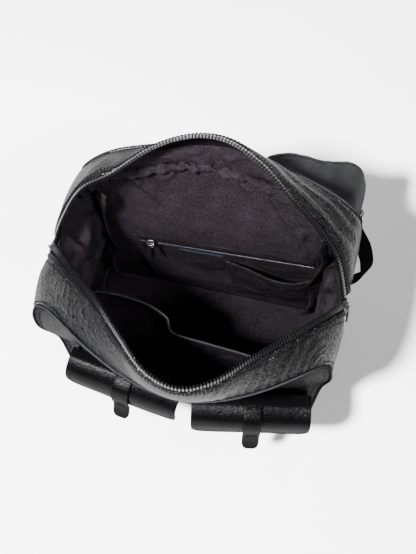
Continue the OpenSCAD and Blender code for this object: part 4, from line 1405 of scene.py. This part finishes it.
def flap_stitch_path(side, inset=5.0):
    """Down one side edge of a flap, along its free edge and up the other side, a little way in."""
    width, length = 2 * FLAP_HALF, 112.0
    down = [0.03 + 0.86 * i / 59 for i in range(60)]
    half_row = [(0.5 - (flap_half(v) - inset) / width, v) for v in down]
    for i in range(1, 12):
        a = math.pi / 2 * i / 11
        half_row.append((0.5 - (FLAP_HALF - inset - 9 * (1 - math.cos(a))) / width,
                         0.89 + (1 - inset / length - 0.89) * math.sin(a)))

    def at(x, v):
        p = on_curve(flap_line(pocket_depth(side)), v)
        return flap_place(side, (x, p.y, p.z))
    path = []
    for u, v in half_row + [(1 - u, v) for u, v in reversed(half_row)]:
        x = (0.5 - u) * width
        out = (at(x - 1, v) - at(x + 1, v)).cross(at(x, min(v + 0.01, 1)) - at(x, v - 0.01)).normalized()
        relief = flap_relief(side)(0.5 - x / (2 * flap_half(v)), v, at(x, v))
        path.append((at(x, v) + out * (0.2 + relief), out))
    return path


def strap_line(d):
    """A closing strap's middle line over a flap and past its free edge."""
    return [(0, -d * 0.55, 5.2), (0, -d * 0.8, 4.4), (0, -d - 5, -1), (0, -d - 10, -13), (0, -d - 11, -30),
            (0, -d - 9.6, -52), (0, -d - 13, -68), (0, -d - 19, -80)]


def disc(name, m, r, h, dome, material, body, nodes=()):
    """Turned round part: a rim, a slight groove and a low dome, along the own Z of m."""
    profile = [(0, -h / 2), (r * 0.86, -h / 2), (r, -h * 0.3), (r, h * 0.2), (r * 0.9, h / 2),
               (r * 0.72, h * 0.5), (r * 0.66, h * 0.36), (r * 0.55, h * 0.42),
               (r * 0.3, h / 2 + dome * 0.8), (0, h / 2 + dome)]
    n = 40
    turns = [2 * math.pi * k / n for k in range(n)]
    verts = []
    for x, z in profile[1:-1]:
        verts += local_points(m, [(x * math.cos(a), x * math.sin(a), z) for a in turns])
    faces = tube_faces(len(profile) - 2, n)
    verts += local_points(m, [(0, 0, profile[0][1]), (0, 0, profile[-1][1])])
    low, high = len(verts) - 2, len(verts) - 1
    last = (len(profile) - 3) * n
    for k in range(n):
        q = (k + 1) % n
        faces.append((low, q, k))
        faces.append((high, last + k, last + q))
    return settle(new_piece(name, verts, faces, material), body, nodes)


for side, word in ((-1, "left"), (1, "right")):
    d, sx, body = pocket_depth(side), (1 if side < 0 else 2), f"flap_{word}"
    root, turn = flap_frame(side)
    turned = Matrix.Rotation(turn, 3, "Z")
    shell(f"flap_leather_{word}", surface(lambda u, v: flap_point(side, u, v), 120, 100), 2.4, smooth, body,
          [f"flap_{word}"], relief=flap_relief(side), back_relief=1.0, bevel=0.7)
    stitches(f"flap_stitching_{word}", [flap_stitch_path(side)], body=body, pitch=3.7)
    route = [flap_place(side, (sx, p.y, p.z)) for p in (on_curve(strap_line(d), i / 90) for i in range(91))]
    across = turned @ Vector((1, 0, 0))
    swept(f"closing_strap_{word}", route, [across] * 91, oval(20, 2.6, 28, 6), smooth, body,
          [f"strap_{word}"], relief=uneven(0.25, 14, 75),
          widths=[1.0] * 80 + [math.sqrt(1 - ((i - 79.5) / 12.2) ** 2) for i in range(80, 91)])
    ups = [heading(route, i).cross(across).normalized() for i in range(91)]

    def on_strap(i, k):
        return route[i] + across * k + ups[i] * 1.35, ups[i]
    edges = [[on_strap(i, k) for i in range(3, 80)] for k in (-7.4, 7.4)]
    stitches(f"strap_stitching_{word}", edges + [[on_strap(i, -7.4), on_strap(i, 7.4)] for i in (66, 79)],
             body=body, bit=fine_stitch_bit, pitch=3.0)
    lean = Matrix.Rotation(math.radians(90 - 14), 3, "X")
    m = (turned @ lean).to_4x4()
    m.translation = (flap_place(side, (sx, -(d + 9), -63)) + (turned @ lean @ Vector((0, 0, -1.3)))) / 1000
    disc(f"snap_cap_ring_{word}", m @ Matrix.Rotation(math.pi, 4, "X"), SNAP_R, 2.2, -0.3, nickel, body,
         [f"snap_cap_{word}"])
    spot = pocket_point(side, 0.5 + sx / (2 * POCKET_HALF), (SNAP_Z - POCKET_Z) / POCKET_H)
    on_pocket = basis(Vector((spot.x, spot.y - 2.3, SNAP_Z)), across, Vector((0, 0, 1)),
                      turned @ Vector((0, -1, 0)))
    disc(f"snap_socket_ring_{word}", on_pocket, SNAP_R, 1.8, 0.5, nickel, "bag", [f"snap_socket_{word}"])


# ---------- carrying parts ----------

YOKE_HALF, YOKE_Z, YOKE_H = 69, 262, 56


def yoke_point(u, v):
    x, z = YOKE_HALF - 2 * YOKE_HALF * u, YOKE_Z + YOKE_H * v
    return x, back_y(x, z), z


shell("yoke_leather", surface(yoke_point, 70, 30), 2.6, panel_hide_painted_light, "bag", ["back_yoke"], lift=3.9,
      relief=hide_relief(81, 0.5))
yoke_x, low, high = YOKE_HALF - 3.5, YOKE_Z + 3.5, YOKE_Z + YOKE_H - 3.5
corners = [(-yoke_x, low), (yoke_x, low), (yoke_x, high), (-yoke_x, high), (-yoke_x, low)]
yoke_path = []
for (xa, za), (xb, zb) in zip(corners, corners[1:]):
    for i in range(30):
        x, z = xa + (xb - xa) * i / 30, za + (zb - za) * i / 30
        dx, dz = back_y(x + 1, z) - back_y(x - 1, z), back_y(x, z + 1) - back_y(x, z - 1)
        out = Vector((-dx / 2, 1, -dz / 2)).normalized()
        yoke_path.append((Vector((x, back_y(x, z), z)) + out * 4.15, out))
stitches("yoke_stitching", [yoke_path])

hy = back_y(0, 325) + 2.6
HANDLE = [(-42, hy, 325), (-39, hy + 2, 317), (-25, hy + 5, 306), (0, hy + 6, 302), (25, hy + 5, 306),
          (39, hy + 2, 317), (42, hy, 325)]
route = resample(HANDLE, 80)
outward = Vector((0, 1, 0))
swept("handle_leather", route, [outward] * 81, oval(5.4, 9.6, 24, 3), smooth, "handle", ["carry_handle"],
      relief=uneven(0.3, 12, 83))
ups = [heading(route, i).cross(outward).normalized() for i in range(81)]
stitches("handle_stitching", [[(route[i] + ups[i] * k + outward * 2.75, outward) for i in range(8, 73)]
                              for k in (-3.2, 3.2)], body="handle", bit=fine_stitch_bit, pitch=3.2)

# middle lines of the pads and webbings from the top down, and the direction across them at each point
PAD_RIGHT = [(34, 111, 288), (42, 122, 286), (62, 125, 279), (92, 128, 266), (120, 133, 253), (141, 137, 238),
             (150, 136, 212), (152, 131, 184)]
PAD_RIGHT_SIDE = [(0.9, 0.35, 0.2), (0.7, 0.6, 0.2), (0.2, 1, 0.25), (0, 1, 0.15), (0, 1, 0), (0, 1, 0),
                  (0.05, 1, 0), (0.1, 1, 0)]
PAD_LEFT = [(-34, 109, 287), (-39, 119, 275), (-51, 124, 246), (-64, 130, 208), (-76, 138, 170),
            (-84, 142, 140)]
PAD_LEFT_SIDE = [(1, 0.1, 0), (1, 0.1, 0), (0.95, 0, 0.3), (0.95, 0, 0.3), (0.95, 0, 0.3), (1, 0, 0.2)]
WEB_RIGHT = [(152.6, 130.7, 181.6), (156.5, 129.6, 166), (160.4, 128.5, 150.4), (164.3, 127.4, 134.8),
             (178, 117, 112), (183, 103, 86), (168, 99, 58), (144, 96, 34)]
WEB_RIGHT_SIDE = [(0.25, 1, 0)] * 4 + [(0.35, 0.95, 0), (0.5, 0.9, 0), (0.6, 0.8, 0), (0.8, 0.6, 0)]
WEB_LEFT = [(-84.3, 142.1, 138.8), (-88, 140, 114), (-91.7, 137.9, 89.2), (-99, 128, 66), (-114, 108, 46),
            (-134, 89, 32)]
WEB_LEFT_SIDE = [(1, 0, 0.2)] * 3 + [(1, 0, 0.25), (1, 0, 0.3), (0.9, 0.2, 0.4)]


PAD_W, PAD_T, WEB_W, WEB_T = 58, 9.4, 25, 1.7


def pad_share(t):
    """Share of the full width: narrow at the yoke, full in the middle, rounded at the lower end."""
    return min(0.42 + 0.58 * ease(t / 0.42), 0.5 + 0.5 * math.sqrt(max(1 - (max(t - 0.8, 0) / 0.2) ** 2, 0)))


def pad_section(w, t, n=56):
    """A stuffed strap: soft middle, pinched along the seam close to each edge, thin bound edges."""
    out = []
    for k in range(n):
        a = 2 * math.pi * k / n
        x = math.cos(a)
        px = math.copysign(abs(x) ** 0.75, x)
        reach = abs(px)
        thick = (1 - reach ** 5) ** 0.5 * 0.82 + 0.18
        pinch = 1 - 0.42 * math.exp(-((reach - 0.87) / 0.05) ** 2)
        s = math.sin(a)
        out.append((px * w / 2, math.copysign(min(abs(s) * 2.4, 1) * thick * pinch * t / 2, s)))
    return out


def lower_tab_point(side, u, v):
    """Leather tab that takes the webbing's lower end; it leans toward the bag's corner."""
    top = (20 if side > 0 else 8) - 28 * u
    return side * 128 + (16 - 32 * u) * (1 - v) + top * v, HALF_D + 3.6, 14 + 28 * v


for side, word in ((-1, "left"), (1, "right")):
    pts, sides = (PAD_LEFT, PAD_LEFT_SIDE) if side < 0 else (PAD_RIGHT, PAD_RIGHT_SIDE)
    route = resample(pts, 110)
    if side > 0:
        # the right pad's lower half bends back
        route = [q + Vector((0, 7 * ease((i / 110 - 0.5) / 0.2) * ease((1.05 - i / 110) / 0.2), 0))
                 for i, q in enumerate(route)]
    across = [on_curve(sides, i / 110).normalized() for i in range(111)]
    shares = [pad_share(i / 110) for i in range(111)]
    body = f"shoulder_strap_{word}"
    pad = swept(f"shoulder_pad_leather_{word}", route, across, pad_section(PAD_W, PAD_T), strap_hide_painted_sheen, body,
                [f"shoulder_pad_{word}"], widths=shares,
                relief=lambda u, v, p: 0.9 * rough(p, 34, 91 + side) + 0.5 * ease(crease(p, 30, 92)))
    ups = [heading(route, i).cross(across[i]).normalized() for i in range(111)]
    ins = [ups[i].cross(heading(route, i).normalized()) for i in range(111)]
    lines = [[(route[i] + ins[i] * (k * 25.2 * shares[i]) + ups[i] * (face * 2.75), ups[i] * face)
              for i in range(3, 108)] for face in (-1, 1) for k in (-1, 1)]
    stitches(f"shoulder_pad_stitching_{word}", lines, body=body, pitch=3.8)
    wpts, wsides = (WEB_LEFT, WEB_LEFT_SIDE) if side < 0 else (WEB_RIGHT, WEB_RIGHT_SIDE)
    route = resample(wpts, 80)
    across = [on_curve(wsides, i / 80).normalized() for i in range(81)]
    swept(f"strap_webbing_{word}", route, across, oval(WEB_W, WEB_T, 28, 8), strap_web, body,
          [f"webbing_{word}"])
    p0, p1 = Vector(wpts[0]), Vector(wpts[1])
    z = (p0 - p1).normalized()
    b = z.cross(Vector(wsides[0]).normalized()).normalized()
    c = b.cross(z)
    mid = p0 + (p1 - p0) * 0.4
    frame_of_slide = basis(mid, c, z, b)
    ring = rounded_box(33, 9, 2.2)
    bars = [wire(f"slide_rim_{word}_{k}", local_points(frame_of_slide, [(x, y, k * 2.9) for x, y in ring]),
                 1.05, nickel, None, closed=True) for k in (-1, 1)]
    ends = [wire(f"slide_post_{word}_{k}",
                 local_points(frame_of_slide, [(k * 15.2, 0, z) for z in (-2.9, 0, 2.9)]), 1.9, nickel, None)
            for k in (-1, 1)]
    join_pieces(f"strap_slide_{word}", bars + ends, f"adjuster_{word}", [f"adjuster_{word}"])
    shell(f"lower_tab_leather_{word}", surface(lambda u, v: lower_tab_point(side, u, v), 24, 20), 2.6,
          panel_hide_painted_light, "bag", [f"lower_tab_{word}"], relief=uneven(0.3, 12, 95))

# hidden stiffeners: the base board between the floor's two skins and the foam behind the back lining
plate("base_stiffener", rounded_box(274, 124, 8), 2.0, board, "bag", ["base_board"],
      place=Matrix.Translation((0, 0, 0.0038)))


def foam_point(u, v):
    z = 18 + 294 * v
    r = CORNER_R - 9
    x = (1 - 2 * u) * min(HALF_W - 9, HALF_W - CORNER_R + math.sqrt(max(r ** 2 - max(z - ARC_Z, 0) ** 2, 0)))
    return x, back_y(x, z), z


shell("back_padding", surface(foam_point, 50, 50), FOAM, foam_skin, "bag", ["back_foam"], lift=-DEEP)

for bit in (stitch_bit, fine_stitch_bit, tooth_bit, small_tooth_bit):
    bpy.data.objects.remove(bit, do_unlink=True)


# ---------- floor, light and camera ----------

def staged(name, data):
    obj = linked(name, data)
    return obj


floor_mesh = bpy.data.meshes.new("floor")
floor_mesh.from_pydata([(x, y, -0.0005) for x, y in ((-6, -6), (6, -6), (6, 6), (-6, 6))], [], [(0, 1, 2, 3)])
floor_mesh.materials.append(plain("matt white paper", "#f4f4f4", "#f8f8f8", 400.0, 0.02, 0.95))
staged("floor", floor_mesh)


def lamp(name, place, aim, size, watts, spread=180):
    """A round lamp that faces its aim; its spread is in degrees."""
    light = bpy.data.lights.new(name, "AREA")
    light.shape, light.size, light.energy = "DISK", size, watts
    if spread < 180:
        light.spread = math.radians(spread)
    obj = staged(name, light)
    obj.location = Vector(place)
    obj.rotation_euler = (Vector(aim) - Vector(place)).to_track_quat("-Z", "Y").to_euler()


lamp("key", (-0.55, -0.75, 2.15), (0, 0, 0.2), 0.22, 410)
lamp("right fill", (1.35, 0.5, 1.6), (0, 0, 0.25), 0.6, 16)
lamp("inside fill", (0.7, -0.5, 1.8), (-0.11, 0.03, 0.25), 0.16, 0.7, 15)
lamp("back fill", (0.25, 2.0, 0.42), (-0.01, 0.08, 0.22), 0.3, 1.5, 16)
world = bpy.data.worlds.new("studio")
world.use_nodes = True
sky = world.node_tree.nodes["Background"]
sky.inputs["Color"].default_value = (1, 1, 1, 1)
sky.inputs["Strength"].default_value = 0.42
bpy.context.scene.world = world

view = bpy.data.cameras.new("camera")
view.lens, view.sensor_width = 70.8, 36
eye = staged("camera", view)
target = Vector((0.012, -0.027, 0.345))
turn, climb = math.radians(12.5), math.radians(72)
back = Vector((math.sin(turn) * math.cos(climb), -math.cos(turn) * math.cos(climb), math.sin(climb)))
eye.location = target + back * 1.08
eye.rotation_euler = (-back).to_track_quat("-Z", "Y").to_euler()
bpy.context.scene.camera = eye
